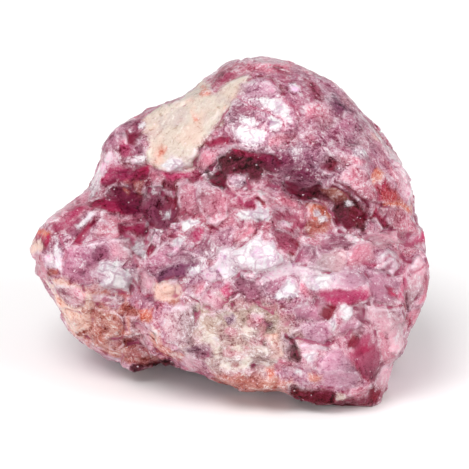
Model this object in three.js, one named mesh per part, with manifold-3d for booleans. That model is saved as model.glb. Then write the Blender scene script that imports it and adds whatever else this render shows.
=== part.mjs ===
// A raw lepidolite stone: one broken, coarse lump of grown-together mica, as it sits on a table.
// A smooth rounded dome stands over a dark recess, a ridge of crystals runs in front of it to a blocky
// right end, and a thinner wing reaches out on the left. Millimetres, +Z up. The stone is drawn from
// its front first (across, up, away from the viewer) and then laid back so that it stands on its feet.
import * as THREE from "three";
import { ConvexGeometry } from "three/addons/geometries/ConvexGeometry.js";
import { mergeVertices } from "three/addons/utils/BufferGeometryUtils.js";
import Module from "manifold-3d";

const wasm = await Module();
wasm.setup();

// Driving dimensions
const stoneWidth = 60;
const layBackAngle = THREE.MathUtils.degToRad(20); // the front is seen from this far above level
const groundLevel = -20.6; // height of the table below the middle of the front, once laid back
const weldDistance = 0.004; // corners closer than this are one corner
const half = stoneWidth / 2;

// The same numbers come out every time
function makeRandom(seed) {
  let state = seed;
  return () => {
    state = (state + 0x6d2b79f5) | 0;
    let t = Math.imul(state ^ (state >>> 15), 1 | state);
    t = (t + Math.imul(t ^ (t >>> 7), 61 | t)) ^ t;
    return ((t ^ (t >>> 14)) >>> 0) / 4294967296;
  };
}
const random = makeRandom(8);
const between = (low, high) => low + (high - low) * random();

// A closed three.js geometry as a solid that can be joined and cut
function solidFrom(geometry) {
  const bare = geometry.index ? geometry.toNonIndexed() : geometry.clone();
  bare.deleteAttribute("normal");
  bare.deleteAttribute("uv");
  const merged = mergeVertices(bare, weldDistance);
  return new wasm.Manifold(
    new wasm.Mesh({
      numProp: 3,
      vertProperties: merged.attributes.position.array,
      triVerts: new Uint32Array(merged.index.array),
    }),
  );
}

function geometryFrom(solid) {
  const mesh = solid.getMesh();
  const geometry = new THREE.BufferGeometry();
  geometry.setAttribute("position", new THREE.BufferAttribute(new Float32Array(mesh.vertProperties), 3));
  geometry.setIndex(new THREE.BufferAttribute(new Uint32Array(mesh.triVerts), 1));
  return geometry;
}

const join = (solids) => solids.reduce((whole, next) => whole.add(next));

// How far an outline lies from a middle point in a given direction in its plane
function reachOf(outline, middle, angle) {
  const dx = Math.cos(angle);
  const dy = Math.sin(angle);
  let reach = 0;
  outline.forEach(([ax, ay], i) => {
    const [bx, by] = outline[(i + 1) % outline.length];
    const [px, py, ex, ey] = [ax - middle[0], ay - middle[1], bx - ax, by - ay];
    const cross = dx * ey - dy * ex;
    if (Math.abs(cross) < 1e-9) return;
    const along = (px * ey - py * ex) / cross;
    const share = (px * dy - py * dx) / cross;
    if (along > 0 && share >= 0 && share <= 1) reach = Math.max(reach, along);
  });
  return reach;
}

function isInside(outline, x, y) {
  let inside = false;
  outline.forEach(([ax, ay], i) => {
    const [bx, by] = outline[(i + 1) % outline.length];
    if (ay > y !== by > y && x < ax + ((bx - ax) * (y - ay)) / (by - ay)) inside = !inside;
  });
  return inside;
}

// Gentle waviness of a broken surface, from a few crossing sine waves
function waviness(x, y, z, length) {
  const k = (2 * Math.PI) / length;
  return (
    (Math.sin(k * (x + 0.6 * y) + 1.3) * Math.cos(k * (y - 0.5 * z)) +
      Math.sin(k * (0.8 * z - 0.4 * x) + 4.1) * Math.cos(k * (x + 0.7 * z) + 0.7)) /
    2
  );
}

// A mass whose outline is given in the front plane and which swells to the front and to the back
function mass({ outline, middle, front, back, fullness, rough, waveLength, detail }) {
  const geometry = mergeVertices(new THREE.IcosahedronGeometry(1, detail), 1e-4);
  const position = geometry.attributes.position;
  for (let i = 0; i < position.count; i++) {
    const [x, y, z] = [position.getX(i), position.getY(i), position.getZ(i)];
    const flat = Math.hypot(x, y);
    const edge = reachOf(outline, middle, Math.atan2(y, x));
    const depth = z < 0 ? front : back;
    const radius = ((flat / edge) ** fullness + (Math.abs(z) / depth) ** fullness) ** (-1 / fullness);
    const swell = radius + rough * waviness(x * radius, y * radius, z * radius, waveLength);
    position.setXYZ(i, middle[0] + x * swell, middle[1] + y * swell, middle[2] + z * swell);
  }
  return solidFrom(geometry);
}

const block = (corners) =>
  solidFrom(new ConvexGeometry(corners.map((corner) => new THREE.Vector3(...corner))));

// Everything that lies behind or before an outline drawn in the front plane
function prismOf(outline, from, to) {
  const corners = outline.map(([x, y]) => new THREE.Vector2(x, y));
  const shape = new THREE.Shape(corners);
  const geometry = new THREE.ExtrudeGeometry(shape, { depth: to - from, bevelEnabled: false });
  geometry.translate(0, 0, from);
  return solidFrom(geometry);
}

function growAbout(solid, middle, factor) {
  const geometry = geometryFrom(solid);
  geometry.translate(-middle[0], -middle[1], -middle[2]);
  geometry.scale(factor, factor, factor);
  geometry.translate(...middle);
  return solidFrom(geometry);
}

// A flat break: everything beyond a plane through a point is taken off
function breakOff(solid, { point, facing }) {
  const size = 3 * stoneWidth;
  const cutter = new THREE.BoxGeometry(size, size, size);
  cutter.translate(0, 0, size / 2);
  const normal = new THREE.Vector3(...facing).normalize();
  cutter.applyQuaternion(new THREE.Quaternion().setFromUnitVectors(new THREE.Vector3(0, 0, 1), normal));
  cutter.translate(...point);
  return solid.subtract(solidFrom(cutter));
}

// Outlines as seen from the front, clockwise from the left tip
const stoneOutline = [
  [-30.1, -1.9], [-28.5, 1.0], [-24.0, 5.2], [-21.0, 7.5], [-20.3, 8.9], [-19.0, 13.6], [-16.6, 16.7],
  [-13.9, 17.9], [-13.2, 18.7], [-11.9, 18.8], [-10.6, 20.3], [-9.0, 19.7], [-7.4, 20.1], [-4.6, 22.5],
  [-2.6, 24.9],
  [1.5, 26.6], [4.4, 26.7], [8.6, 26.1], [12.0, 24.5], [15.6, 22.6], [19.4, 18.6], [22.0, 15.6],
  [25.2, 11.2], [27.0, 7.0], [27.5, 1.2], [29.0, 0.8], [29.1, -2.0], [30.0, -5.4], [28.6, -10.0],
  [27.8, -12.4], [26.6, -14.2], [25.9, -16.4], [24.0, -18.9], [23.1, -21.2], [22.8, -23.4],
  [21.8, -26.4], [19.2, -26.4],
  [14.6, -25.1], [11.8, -24.9], [7.2, -23.0], [3.0, -23.1], [-1.6, -22.3], [-5.0, -20.6], [-7.8, -19.6],
  [-10.8, -20.4], [-12.3, -19.9], [-14.4, -20.8], [-18.2, -18.7], [-22.6, -16.3], [-24.0, -15.4],
  [-26.8, -10.2], [-29.5, -5.0],
];
const domeOutline = [
  [-9.0, 8.0], [-8.0, 15.6], [-3.9, 23.4], [0.6, 25.9], [4.6, 26.6], [9.4, 25.8], [15.2, 22.9],
  [19.6, 18.6], [23.2, 14.2], [25.6, 10.4], [27.2, 5.6], [27.5, 1.0], [25.0, -4.0], [12.0, -6.0],
  [0.0, -3.0],
];
const ridgeOutline = [
  [-14.0, -3.0], [-9.6, 5.0], [-1.6, 8.2], [5.0, 6.4], [10.6, 2.0], [15.0, -2.4], [21.0, 0.4],
  [29.0, 0.8], [30.0, -5.2], [28.4, -10.8], [24.6, -18.6], [22.4, -26.6], [13.0, -25.6], [3.8, -23.6],
  [-5.4, -21.4], [-10.6, -18.0], [-15.4, -10.6],
];
const wingOutline = [
  [-29.8, -0.8], [-29.0, 1.2], [-25.8, 3.6], [-21.4, 5.2], [-11.6, 2.4], [-7.6, -4.0],
  [-11.6, -11.0], [-19.0, -12.6], [-26.4, -9.6], [-28.6, -5.4],
];
const recessOutline = [
  [-4.8, 11.0], [-1.6, 13.0], [2.8, 13.4], [9.4, 10.8], [16.4, 7.8], [22.4, 5.0], [25.2, 2.0],
  [22.6, -0.8], [16.6, 0.4], [11.0, 3.2], [5.0, 7.0], [-1.4, 8.6],
];
const leftRecessOutline = [
  [-20.6, 5.4], [-17.6, 8.6], [-12.0, 8.8], [-7.4, 7.4], [-6.4, 1.6], [-8.6, -1.4], [-11.6, 1.6],
  [-16.4, 2.6],
];
const outerLayerOutline = [
  [2.2, 24.9], [5.4, 23.2], [7.4, 20.7], [8.8, 19.2], [9.4, 16.6], [11.0, 15.6], [10.6, 13.6], [13.4, 12.4],
  [15.8, 8.8], [20.4, 7.6], [24.6, 3.4], [34.0, 2.0], [34.0, 30.0], [4.0, 30.0],
];
// The dome, the cream slab and the shoulder keep their own faces: no filling crystal is set on them
const smoothOutline = [
  [-20.0, 14.4], [-17.6, 10.6], [-13.0, 10.4], [-9.8, 9.0], [-5.0, 10.0], [-3.0, 14.2], [3.0, 14.8],
  [9.8, 13.6],
  [17.4, 11.0], [22.0, 9.4], [27.8, 9.6], [20.0, 30.0], [-16.0, 30.0],
];

const whole = mass({
  outline: stoneOutline, middle: [0, -1, 5], front: 14, back: 19,
  fullness: 2.5, rough: 0.8, waveLength: 15, detail: 5,
});
const domeMiddle = [9, 9, 4];
const dome = mass({
  outline: domeOutline, middle: domeMiddle, front: 17, back: 17.5,
  fullness: 2.15, rough: 0.1, waveLength: 9, detail: 7,
});
const ridge = mass({
  outline: ridgeOutline, middle: [7, -10, -4], front: 13.5, back: 12,
  fullness: 2.8, rough: 0.5, waveLength: 9, detail: 3,
});
const wing = mass({
  outline: wingOutline, middle: [-19, -3.6, 0], front: 9.5, back: 9,
  fullness: 2.2, rough: 0.3, waveLength: 11, detail: 3,
});

// The dome has grown in layers: the outer one ends in a low step that runs down from its top
const outerLayerGrowth = 1.022;
const outerLayerBack = 6;
const outerLayerArea = prismOf(outerLayerOutline, -half, outerLayerBack);
const outerLayer = growAbout(dome, domeMiddle, outerLayerGrowth).intersect(outerLayerArea);

// The cream slab is a flat-faced wedge that leans on the dome's left side
const creamSlab = block([
  [4.6, 24.3, -4.8], [1.8, 20.2, -8.7], [-1.0, 17.2, -9.6], [-5.0, 11.2, -9.4], [-9.8, 10.2, -8.2],
  [-12.6, 14.6, -5.2], [-13.6, 17.6, -2.6], [-8.4, 20.2, -1.8], [-3.1, 22.6, -1.6], [-8.0, 9.0, 4.0],
  [4.0, 22.0, 4.0], [-9.0, 17.0, 5.0],
]);
const shoulder = block([
  [-19.8, 9.4, -4.0], [-19.2, 13.4, -4.4], [-17.0, 16.4, -3.6], [-13.6, 17.8, -3.0], [-11.6, 14.6, -5.6],
  [-12.4, 10.4, -7.6], [-16.4, 9.4, -7.6], [-17.4, 12.6, -6.8], [-18.6, 13.4, 4.0], [-14.0, 17.0, 5.0],
  [-12.0, 8.0, 4.0], [-19.8, 9.0, 4.0],
]);

// The dark recess under the dome, and the smaller one between the shoulder and the wing
const recess = mass({
  outline: recessOutline, middle: [9.2, 7.4, -17], front: 9, back: 8,
  fullness: 2, rough: 0.5, waveLength: 6, detail: 4,
});
const leftRecess = mass({
  outline: leftRecessOutline, middle: [-12.8, 5.2, -13], front: 8, back: 6.6,
  fullness: 2, rough: 0.4, waveLength: 5, detail: 3,
});
let stone = join([whole, dome, outerLayer, ridge, wing, shoulder, creamSlab]);
stone = stone.subtract(recess).subtract(leftRecess);

// Directions spread evenly all round, along a spiral from top to bottom
const goldenTurn = Math.PI * (3 - Math.sqrt(5));
function spiralDirection(i, count) {
  const level = 1 - (2 * (i + 0.5)) / count;
  const ring = Math.sqrt(1 - level * level);
  return new THREE.Vector3(Math.cos(i * goldenTurn) * ring, level, Math.sin(i * goldenTurn) * ring);
}

// The back has broken into large flat faces: each takes a thin cap off whatever reaches furthest its way
const backBreaks = { directions: 60, bite: [0.8, 2.4], leastRearward: 0.24, mostUpward: 0.8 };
function capBreaks(solid) {
  const { position } = geometryFrom(solid).attributes;
  const corner = new THREE.Vector3();
  const found = [];
  for (let i = 0; i < backBreaks.directions; i++) {
    const facing = spiralDirection(i, backBreaks.directions);
    const bite = between(...backBreaks.bite);
    if (facing.z < backBreaks.leastRearward || facing.y > backBreaks.mostUpward) continue;
    let reach = -Infinity;
    for (let k = 0; k < position.count; k++) {
      reach = Math.max(reach, corner.fromBufferAttribute(position, k).dot(facing));
    }
    found.push({ point: facing.clone().multiplyScalar(reach - bite).toArray(), facing: facing.toArray() });
  }
  return found;
}
stone = capBreaks(stone).reduce(breakOff, stone);

// Thick layers have come away from the back: each scar has an uneven floor and leaves ledges round it
const scarFloors = [
  [
    [-1.0, -28.0, 18.6], [34.0, -28.0, 13.6], [34.0, -8.0, 15.4],
    [21.0, 2.4, 18.4], [9.0, -2.6, 20.2], [2.4, -12.0, 20.2],
  ],
  [
    [-34.0, -14.0, 10.4], [-17.0, -12.4, 15.4], [-9.6, -4.0, 17.4],
    [-5.4, 8.0, 17.8], [-11.0, 24.0, 13.6], [-34.0, 24.0, 7.0],
  ],
];
const scarFlare = 1.2;
function scar(floor) {
  const middleOf = (axis) => floor.reduce((sum, corner) => sum + corner[axis], 0) / floor.length;
  const [mx, my] = [middleOf(0), middleOf(1)];
  const corners = floor.flatMap(([x, y, z]) => [
    [x, y, z],
    [mx + (x - mx) * scarFlare, my + (y - my) * scarFlare, stoneWidth],
  ]);
  return block(corners);
}
stone = scarFloors.reduce((left, floor) => left.subtract(scar(floor)), stone);

// Where a ray from the front, or from any other side, first meets the stone
function makeSurfaceFinder(solid) {
  const skin = new THREE.Mesh(geometryFrom(solid), new THREE.MeshBasicMaterial({ side: THREE.DoubleSide }));
  const caster = new THREE.Raycaster();
  return (from, direction) => {
    caster.set(from, direction);
    const hit = caster.intersectObject(skin)[0];
    return hit && { point: hit.point, normal: hit.face.normal.clone() };
  };
}
const findSurface = makeSurfaceFinder(stone);
const away = new THREE.Vector3(0, 0, 1);
const frontOf = (across, up) => findSurface(new THREE.Vector3(across, up, -stoneWidth), away);

function lookingDirection(right, over) {
  const yaw = THREE.MathUtils.degToRad(right);
  const pitch = THREE.MathUtils.degToRad(over);
  const level = Math.cos(pitch);
  return new THREE.Vector3(Math.sin(yaw) * level, Math.sin(pitch), -Math.cos(yaw) * level);
}

// One broken crystal: an uneven flat face whose sides fall away into the stone, steeply or gently
const crystalRoot = 3.2; // how deep it reaches below the surface
const cornerShift = [-0.3, 0.3]; // how far a corner strays from its even place, in parts of a side
const cornerReach = [0.4, 0.575]; // and from the middle, in parts of the length or width
function crystal({ place, facing, length, width, proud, spin, sides, slopes }) {
  const corners = [];
  for (let i = 0; i < sides; i++) {
    const angle = ((i + between(...cornerShift)) / sides) * 2 * Math.PI;
    const reach = between(...cornerReach);
    const spread = between(...slopes);
    const [x, y] = [Math.cos(angle) * length * reach, Math.sin(angle) * width * reach];
    corners.push(new THREE.Vector3(x, y, proud), new THREE.Vector3(x * spread, y * spread, -crystalRoot));
  }
  const geometry = new ConvexGeometry(corners);
  geometry.rotateZ(spin);
  geometry.applyQuaternion(new THREE.Quaternion().setFromUnitVectors(new THREE.Vector3(0, 0, 1), facing));
  geometry.translate(place.x, place.y, place.z);
  return solidFrom(geometry);
}

// Crystals that show at the front: across, up, length, width, turn in degrees, how far the flat face
// looks to the right and up (degrees off straight at the viewer), and how proud it stands
const frontCrystals = [
  // the blocky right end
  [27.0, -1.0, 8.0, 4.6, 20, 24, 16, 0.9],
  [28.0, -6.4, 4.4, 10.0, -6, 36, 2, 1.4],
  [22.8, -9.2, 9.4, 6.2, -34, 24, 14, 1.3],
  [22.0, -15.2, 7.0, 9.0, -24, 36, -8, 1.0],
  [17.0, -16.8, 8.8, 7.6, 10, 4, 8, 1.0],
  [16.2, -22.4, 10.0, 5.6, -16, 2, -14, 0.9],
  [19.8, -2.8, 9.6, 5.0, 14, 6, 34, 1.1],
  [14.0, -11.6, 7.4, 5.2, 30, -12, 24, 0.7],
  [15.4, -6.6, 9.2, 4.6, 18, -4, 38, 1.1],
  // the ridge and its pearly faces
  [-4.8, 5.2, 9.0, 7.0, 34, -20, 24, 1.6],
  [-1.2, 0.6, 6.0, 5.0, -20, -16, 6, 0.9],
  [2.4, 4.2, 7.2, 4.6, 8, -6, 34, 1.4],
  [4.4, -2.4, 10.4, 6.2, 28, -10, 28, 1.7],
  [9.0, -8.4, 7.0, 5.4, 34, -4, 22, 0.9],
  [12.6, 2.0, 6.6, 5.4, 0, 8, 18, 1.4],
  [10.6, -2.6, 5.6, 5.0, 60, 16, 20, 1.1],
  [-8.8, -5.4, 8.8, 4.8, 12, -18, 20, 0.9],
  [-1.0, -8.0, 8.0, 5.8, -8, -12, 8, 0.7],
  [-7.6, 0.0, 5.6, 5.4, 30, -32, 20, 0.9],
  // the foot of the front
  [-8.2, -13.4, 8.6, 6.8, 0, -16, -10, 1.1],
  [1.6, -14.6, 9.0, 7.4, 20, -8, -6, 0.5],
  [8.8, -16.4, 6.0, 9.0, 8, 6, -4, 0.7],
  [10.2, -22.2, 9.4, 4.6, -12, -2, -26, 0.8],
  [0.4, -20.4, 8.4, 4.2, 0, -8, -24, 0.4],
  // the left wing
  [-22.8, 2.8, 11.0, 3.6, 34, -20, 34, 0.9],
  [-19.4, -3.0, 10.0, 8.6, -18, -10, 16, 0.4],
  [-26.0, -2.8, 7.0, 7.4, 20, -34, 10, 0.6],
  [-17.0, -10.4, 9.0, 5.2, -8, -8, -14, 0.7],
  [-23.0, -9.4, 8.4, 6.0, 12, -26, -20, 0.7],
  [-13.4, -4.6, 7.4, 6.4, 10, 2, 10, 0.9],
  [-20.6, -13.4, 7.6, 4.4, 20, -18, -32, 0.5],
  [-14.6, -16.6, 7.4, 4.2, -10, -6, -34, 0.5],
  // rough blocks under the rim of the dome, in the recess and on the shoulder
  [-2.4, 10.4, 6.0, 3.8, 10, -24, -16, 0.5],
  [2.8, 11.2, 5.6, 3.4, -12, -6, -30, 0.4],
  [8.0, 10.8, 6.4, 3.6, -24, 8, -26, 0.5],
  [13.2, 9.8, 6.4, 4.2, -18, 12, -16, 0.6],
  [18.0, 8.6, 6.0, 4.6, -20, 24, -8, 0.6],
  [22.4, 5.8, 5.0, 7.8, 34, 38, 6, 0.6],
  [25.2, 2.6, 4.4, 6.0, 24, 48, 2, 0.5],
  [-18.2, 8.6, 2.8, 7.8, -30, -36, 10, 0.5],
  [-11.4, 8.2, 6.2, 4.2, 10, -18, 18, 0.9],
];
const frontStyle = { sides: 6, slopes: [1.1, 1.9] };
function placeFrontCrystal([across, up, length, width, turn, right, over, proud]) {
  return crystal({
    place: frontOf(across, up).point,
    facing: lookingDirection(right, over),
    length,
    width,
    proud,
    spin: THREE.MathUtils.degToRad(turn),
    ...frontStyle,
  });
}

// Lower crystals fill the front between the placed ones, on a loose grid that leaves the smooth faces
const filling = {
  spacing: 6, rowSpacing: 5.16, stray: [-1.6, 1.6], right: [-32, 32], over: [-24, 36], turn: [0, 180],
  length: [4.6, 8], slimness: [0.55, 0.9], proud: [0, 0.7], leastTowardViewer: 0.3,
};
function fillingCrystals() {
  const crystals = [];
  for (let row = -half; row < half; row += filling.rowSpacing) {
    for (let column = -half; column < half; column += filling.spacing) {
      const [across, up] = [column + between(...filling.stray), row + between(...filling.stray)];
      const [right, over] = [between(...filling.right), between(...filling.over)];
      const turn = between(...filling.turn);
      const length = between(...filling.length);
      const width = length * between(...filling.slimness);
      const proud = between(...filling.proud);
      const found = frontOf(across, up);
      const seenEdgeOn = !found || -found.normal.z < filling.leastTowardViewer;
      if (seenEdgeOn || isInside(smoothOutline, across, up)) continue;
      crystals.push(placeFrontCrystal([across, up, length, width, turn, right, over, proud]));
    }
  }
  return crystals;
}

// On the sides and the back they lie half sunk, so that mostly an edge shows
const scattered = {
  directions: 122, tilt: [-0.3, 0.3], length: [5.5, 9], slimness: [0.55, 0.9], turn: [0, Math.PI],
  proud: [-0.4, 0.3], mostTowardViewer: 0.4,
};
const sideStyle = { sides: 5, slopes: [1.05, 1.4] };
const bodyMiddle = new THREE.Vector3(1, -2, 4);
const domeSkin = { radius: 20, lowest: 2, rearmost: 9 };

function isOnDome(point) {
  const near = point.distanceTo(new THREE.Vector3(...domeMiddle)) < domeSkin.radius;
  return near && point.y > domeSkin.lowest && point.z < domeSkin.rearmost;
}

function scatteredCrystals() {
  const crystals = [];
  for (let i = 0; i < scattered.directions; i++) {
    const out = spiralDirection(i, scattered.directions);
    const found = findSurface(bodyMiddle.clone().addScaledVector(out, stoneWidth), out.clone().negate());
    const tilt = new THREE.Vector3().fromArray([0, 0, 0].map(() => between(...scattered.tilt)));
    const length = between(...scattered.length);
    const width = length * between(...scattered.slimness);
    const spin = between(...scattered.turn);
    const proud = between(...scattered.proud);
    if (-found.normal.z > scattered.mostTowardViewer || isOnDome(found.point)) continue;
    const facing = found.normal.clone().add(tilt).normalize();
    crystals.push(crystal({ place: found.point, facing, length, width, proud, spin, ...sideStyle }));
  }
  return crystals;
}

const placed = frontCrystals.map(placeFrontCrystal);
stone = join([stone, ...placed, ...fillingCrystals(), ...scatteredCrystals()]);
stone = stone.intersect(prismOf(stoneOutline, -stoneWidth, stoneWidth));

// Laid back onto its feet, with a hollow under its middle
const [lean, rise] = [Math.sin(layBackAngle), Math.cos(layBackAngle)];
const layBack = new THREE.Matrix4().makeBasis(
  new THREE.Vector3(1, 0, 0),
  new THREE.Vector3(0, lean, rise),
  new THREE.Vector3(0, rise, -lean),
);
const standing = geometryFrom(stone).applyMatrix4(layBack);
const corners = standing.index.array; // turned round, because away from the viewer was a left-handed axis
for (let i = 0; i < corners.length; i += 3) {
  [corners[i + 1], corners[i + 2]] = [corners[i + 2], corners[i + 1]];
}
const underHollow = mass({
  outline: [[-19, -4], [-15, 6], [-6, 12], [5, 12], [12, 6], [10, -3], [4, -8], [0, -18], [-10, -18]],
  middle: [-3, -2, groundLevel], front: 3, back: 3.6,
  fullness: 2.4, rough: 1.1, waveLength: 8, detail: 3,
});
// The rim of the underside has broken away obliquely all round; the last break is the table itself
const footBreaks = [
  { point: [0, 20, -17.8], facing: [0.1, 0.55, -1] },
  { point: [-16, 14, -18.2], facing: [-0.5, 0.4, -1] },
  { point: [20, 14, -18], facing: [0.55, 0.35, -1] },
  { point: [-24, 0, -18.8], facing: [-0.45, -0.1, -1] },
  { point: [26, -4, -18.6], facing: [0.5, 0, -1] },
  { point: [0, 0, groundLevel], facing: [0, 0, -1] },
];
const footed = footBreaks.reduce(breakOff, solidFrom(standing)).subtract(underHollow);

// Only the stone itself, with its origin under the middle of its box
const largest = footed.decompose().reduce((best, piece) => (piece.volume() > best.volume() ? piece : best));
const stoneGeometry = geometryFrom(largest);
stoneGeometry.computeBoundingBox();
const { min, max } = stoneGeometry.boundingBox;
stoneGeometry.translate(-(min.x + max.x) / 2, -(min.y + max.y) / 2, -min.z);
stoneGeometry.computeVertexNormals();

const lilacMica = new THREE.MeshStandardMaterial({ color: 0xbf8b95, roughness: 0.55, metalness: 0 });
const lepidolite = new THREE.Mesh(stoneGeometry, lilacMica);
lepidolite.name = "lepidolite_stone";

const object = new THREE.Group();
object.add(lepidolite);
export default object;
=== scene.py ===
import math
from itertools import product

import bmesh
import bpy
import numpy as np
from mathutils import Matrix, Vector
from mathutils.bvhtree import BVHTree
from mathutils.kdtree import KDTree


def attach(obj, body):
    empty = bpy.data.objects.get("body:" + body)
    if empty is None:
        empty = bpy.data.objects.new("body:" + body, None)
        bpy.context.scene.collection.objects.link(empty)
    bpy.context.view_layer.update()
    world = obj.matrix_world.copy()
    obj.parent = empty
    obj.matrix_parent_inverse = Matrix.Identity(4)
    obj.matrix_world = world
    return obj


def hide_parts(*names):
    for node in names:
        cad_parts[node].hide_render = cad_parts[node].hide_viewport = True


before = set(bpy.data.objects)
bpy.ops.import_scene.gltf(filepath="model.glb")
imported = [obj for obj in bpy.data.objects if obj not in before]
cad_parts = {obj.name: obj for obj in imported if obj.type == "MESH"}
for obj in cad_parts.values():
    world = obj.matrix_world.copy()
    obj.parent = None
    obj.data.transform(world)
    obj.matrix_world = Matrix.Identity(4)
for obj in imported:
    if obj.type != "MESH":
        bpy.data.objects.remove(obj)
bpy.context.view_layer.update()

# The stone is worked in millimetres. Its markings are placed as the photograph shows them:
# "across" runs to the right and "up" is up in the picture, from a point inside the stone.
millimetre = 0.001
lookDown = math.radians(20)     # how steeply the camera looks down
frontOrigin = np.array([-0.02, -0.98, 20.6])
acrossWay = np.array([1, 0, 0])
upWay = np.array([0, math.sin(lookDown), math.cos(lookDown)])
deepWay = np.array([0, math.cos(lookDown), -math.sin(lookDown)])


def toFront(points):
    return (points - frontOrigin) @ np.stack([acrossWay, upWay, deepWay], axis=1)


def fromFront(across, up, deep=0.0):
    return frontOrigin + across * acrossWay + up * upWay + deep * deepWay


# Camera, floor and light; lengths in metres
studio = {
    "distance": 1.5,            # from the stone to the camera
    "viewWidth": 0.07002,       # across the picture, at the stone
    "aim": (0.52, 0.07),        # the middle of the picture, mm across and up
    "clip": (0.05, 30),
    "floorSize": 12.0,
    "floorColour": (0.95, 0.945, 0.945),
    "floorRoughness": 0.9,
    "floorShine": 0.1,
    "skyColour": (1.0, 0.985, 0.985),
    "skyStrength": 0.58,
    "lampsAim": (0, 0, 0.022),
    "lamps": [
        # name, degrees to the camera's right and above the floor, distance, size, watts
        ("window", -30, 58, 1.7, 1.0, 16.0),
        ("card", 62, 28, 1.7, 1.0, 11.0),
        ("front", -12, 14, 2.0, 0.9, 7.0),
        ("left", -62, 12, 2.0, 0.9, 7.0),
    ],
}


def placeAround(item, middle, azimuth, elevation, distance):
    a, e = math.radians(azimuth), math.radians(elevation)
    way = Vector((math.sin(a) * math.cos(e), -math.cos(a) * math.cos(e), math.sin(e)))
    item.location = middle + way * distance
    item.rotation_euler = way.to_track_quat("Z", "Y").to_euler()
    bpy.context.scene.collection.objects.link(item)


def makeCamera():
    camera = bpy.data.cameras.new("camera")
    camera.lens = camera.sensor_width * studio["distance"] / studio["viewWidth"]
    camera.clip_start, camera.clip_end = studio["clip"]
    cameraObject = bpy.data.objects.new("camera", camera)
    aim = Vector(fromFront(*studio["aim"])) * millimetre
    placeAround(cameraObject, aim, 0, math.degrees(lookDown), studio["distance"])
    bpy.context.scene.camera = cameraObject


def makeFloor():
    half = studio["floorSize"] / 2
    corners = [(-half, -half, 0), (half, -half, 0), (half, half, 0), (-half, half, 0)]
    mesh = bpy.data.meshes.new("floor")
    mesh.from_pydata(corners, [], [(0, 1, 2, 3)])
    floor = bpy.data.objects.new("floor", mesh)
    bpy.context.scene.collection.objects.link(floor)
    floorMaterial = bpy.data.materials.new("paper_floor")
    floorMaterial.use_nodes = True
    shader = floorMaterial.node_tree.nodes["Principled BSDF"]
    shader.inputs["Base Color"].default_value = (*studio["floorColour"], 1)
    shader.inputs["Roughness"].default_value = studio["floorRoughness"]
    shader.inputs["Specular IOR Level"].default_value = studio["floorShine"]
    mesh.materials.append(floorMaterial)


def makeLight():
    scene = bpy.context.scene
    world = bpy.data.worlds.new("studio")
    world.use_nodes = True
    sky = world.node_tree.nodes["Background"]
    sky.inputs["Color"].default_value = (*studio["skyColour"], 1)
    sky.inputs["Strength"].default_value = studio["skyStrength"]
    scene.world = world
    scene.view_settings.view_transform = "Standard"
    scene.view_settings.look = "None"
    for name, azimuth, elevation, distance, size, power in studio["lamps"]:
        light = bpy.data.lights.new(name, "AREA")
        light.shape = "DISK"
        light.size = size
        light.energy = power
        lamp = bpy.data.objects.new(name, light)
        placeAround(lamp, Vector(studio["lampsAim"]), azimuth, elevation, distance)


# Random numbers and noise that come out the same in every run
chanceTable = np.random.default_rng(11).random((8191, 6))
cellSteps = np.array([1, 97, 3571])     # rows of the table from one cell to the next, each way
saltStep = 641                          # and from one salt to the next
noiseShift = 7.31                       # cells between the noises of two salts
farAway = 1e9


def chances(cells, salt):
    return chanceTable[(cells @ cellSteps + salt * saltStep) % len(chanceTable)]


# Cuts space into cells round scattered seeds: each point's seed and its chances, and how far
# the nearest seed and the next one are. The chances that placed the seed come last.
def cellsNear(points, size, salt):
    grid = points / size
    corner = np.floor(grid).astype(np.int64)
    nearest = np.full(len(points), farAway)
    second = np.full(len(points), farAway)
    seeds = np.zeros((len(points), 3))
    luck = np.zeros((len(points), 6))
    for step in product((-1, 0, 1), repeat=3):
        cell = corner + np.array(step)
        dice = chances(cell, salt)
        seed = cell + dice[:, :3]
        gap = ((seed - grid) ** 2).sum(1)
        closer = gap < nearest
        second = np.where(closer, nearest, np.minimum(second, gap))
        nearest = np.where(closer, gap, nearest)
        seeds[closer] = seed[closer]
        luck[closer] = dice[closer]
    return seeds * size, luck[:, [3, 4, 5, 0, 1, 2]], np.sqrt(nearest) * size, np.sqrt(second) * size


def noiseAt(points, size, salt, detail=1):
    total, weight, reach = np.zeros(len(points)), 0.0, 1.0
    for level in range(detail):
        grid = points / size + salt * noiseShift
        corner = np.floor(grid).astype(np.int64)
        part = grid - corner
        part = part * part * (3 - 2 * part)
        value = np.zeros(len(points))
        for step in product((0, 1), repeat=3):
            share = np.prod(np.where(step, part, 1 - part), axis=1)
            value += share * chances(corner + np.array(step), salt + level)[:, 0]
        total += value * reach
        weight += reach
        size, reach = size / 2, reach / 2
    return total / weight


def warpAt(points, size, salt, detail):
    return np.stack([noiseAt(points, size, salt + k, detail) for k in range(3)], axis=1) - 0.5


def smoothStep(value, low, high):
    t = np.clip((value - low) / (high - low), 0, 1)
    return t * t * (3 - 2 * t)


def blend(values, target, share):
    values += (target - values) * (share if values.ndim == 1 else share[:, None])


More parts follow.
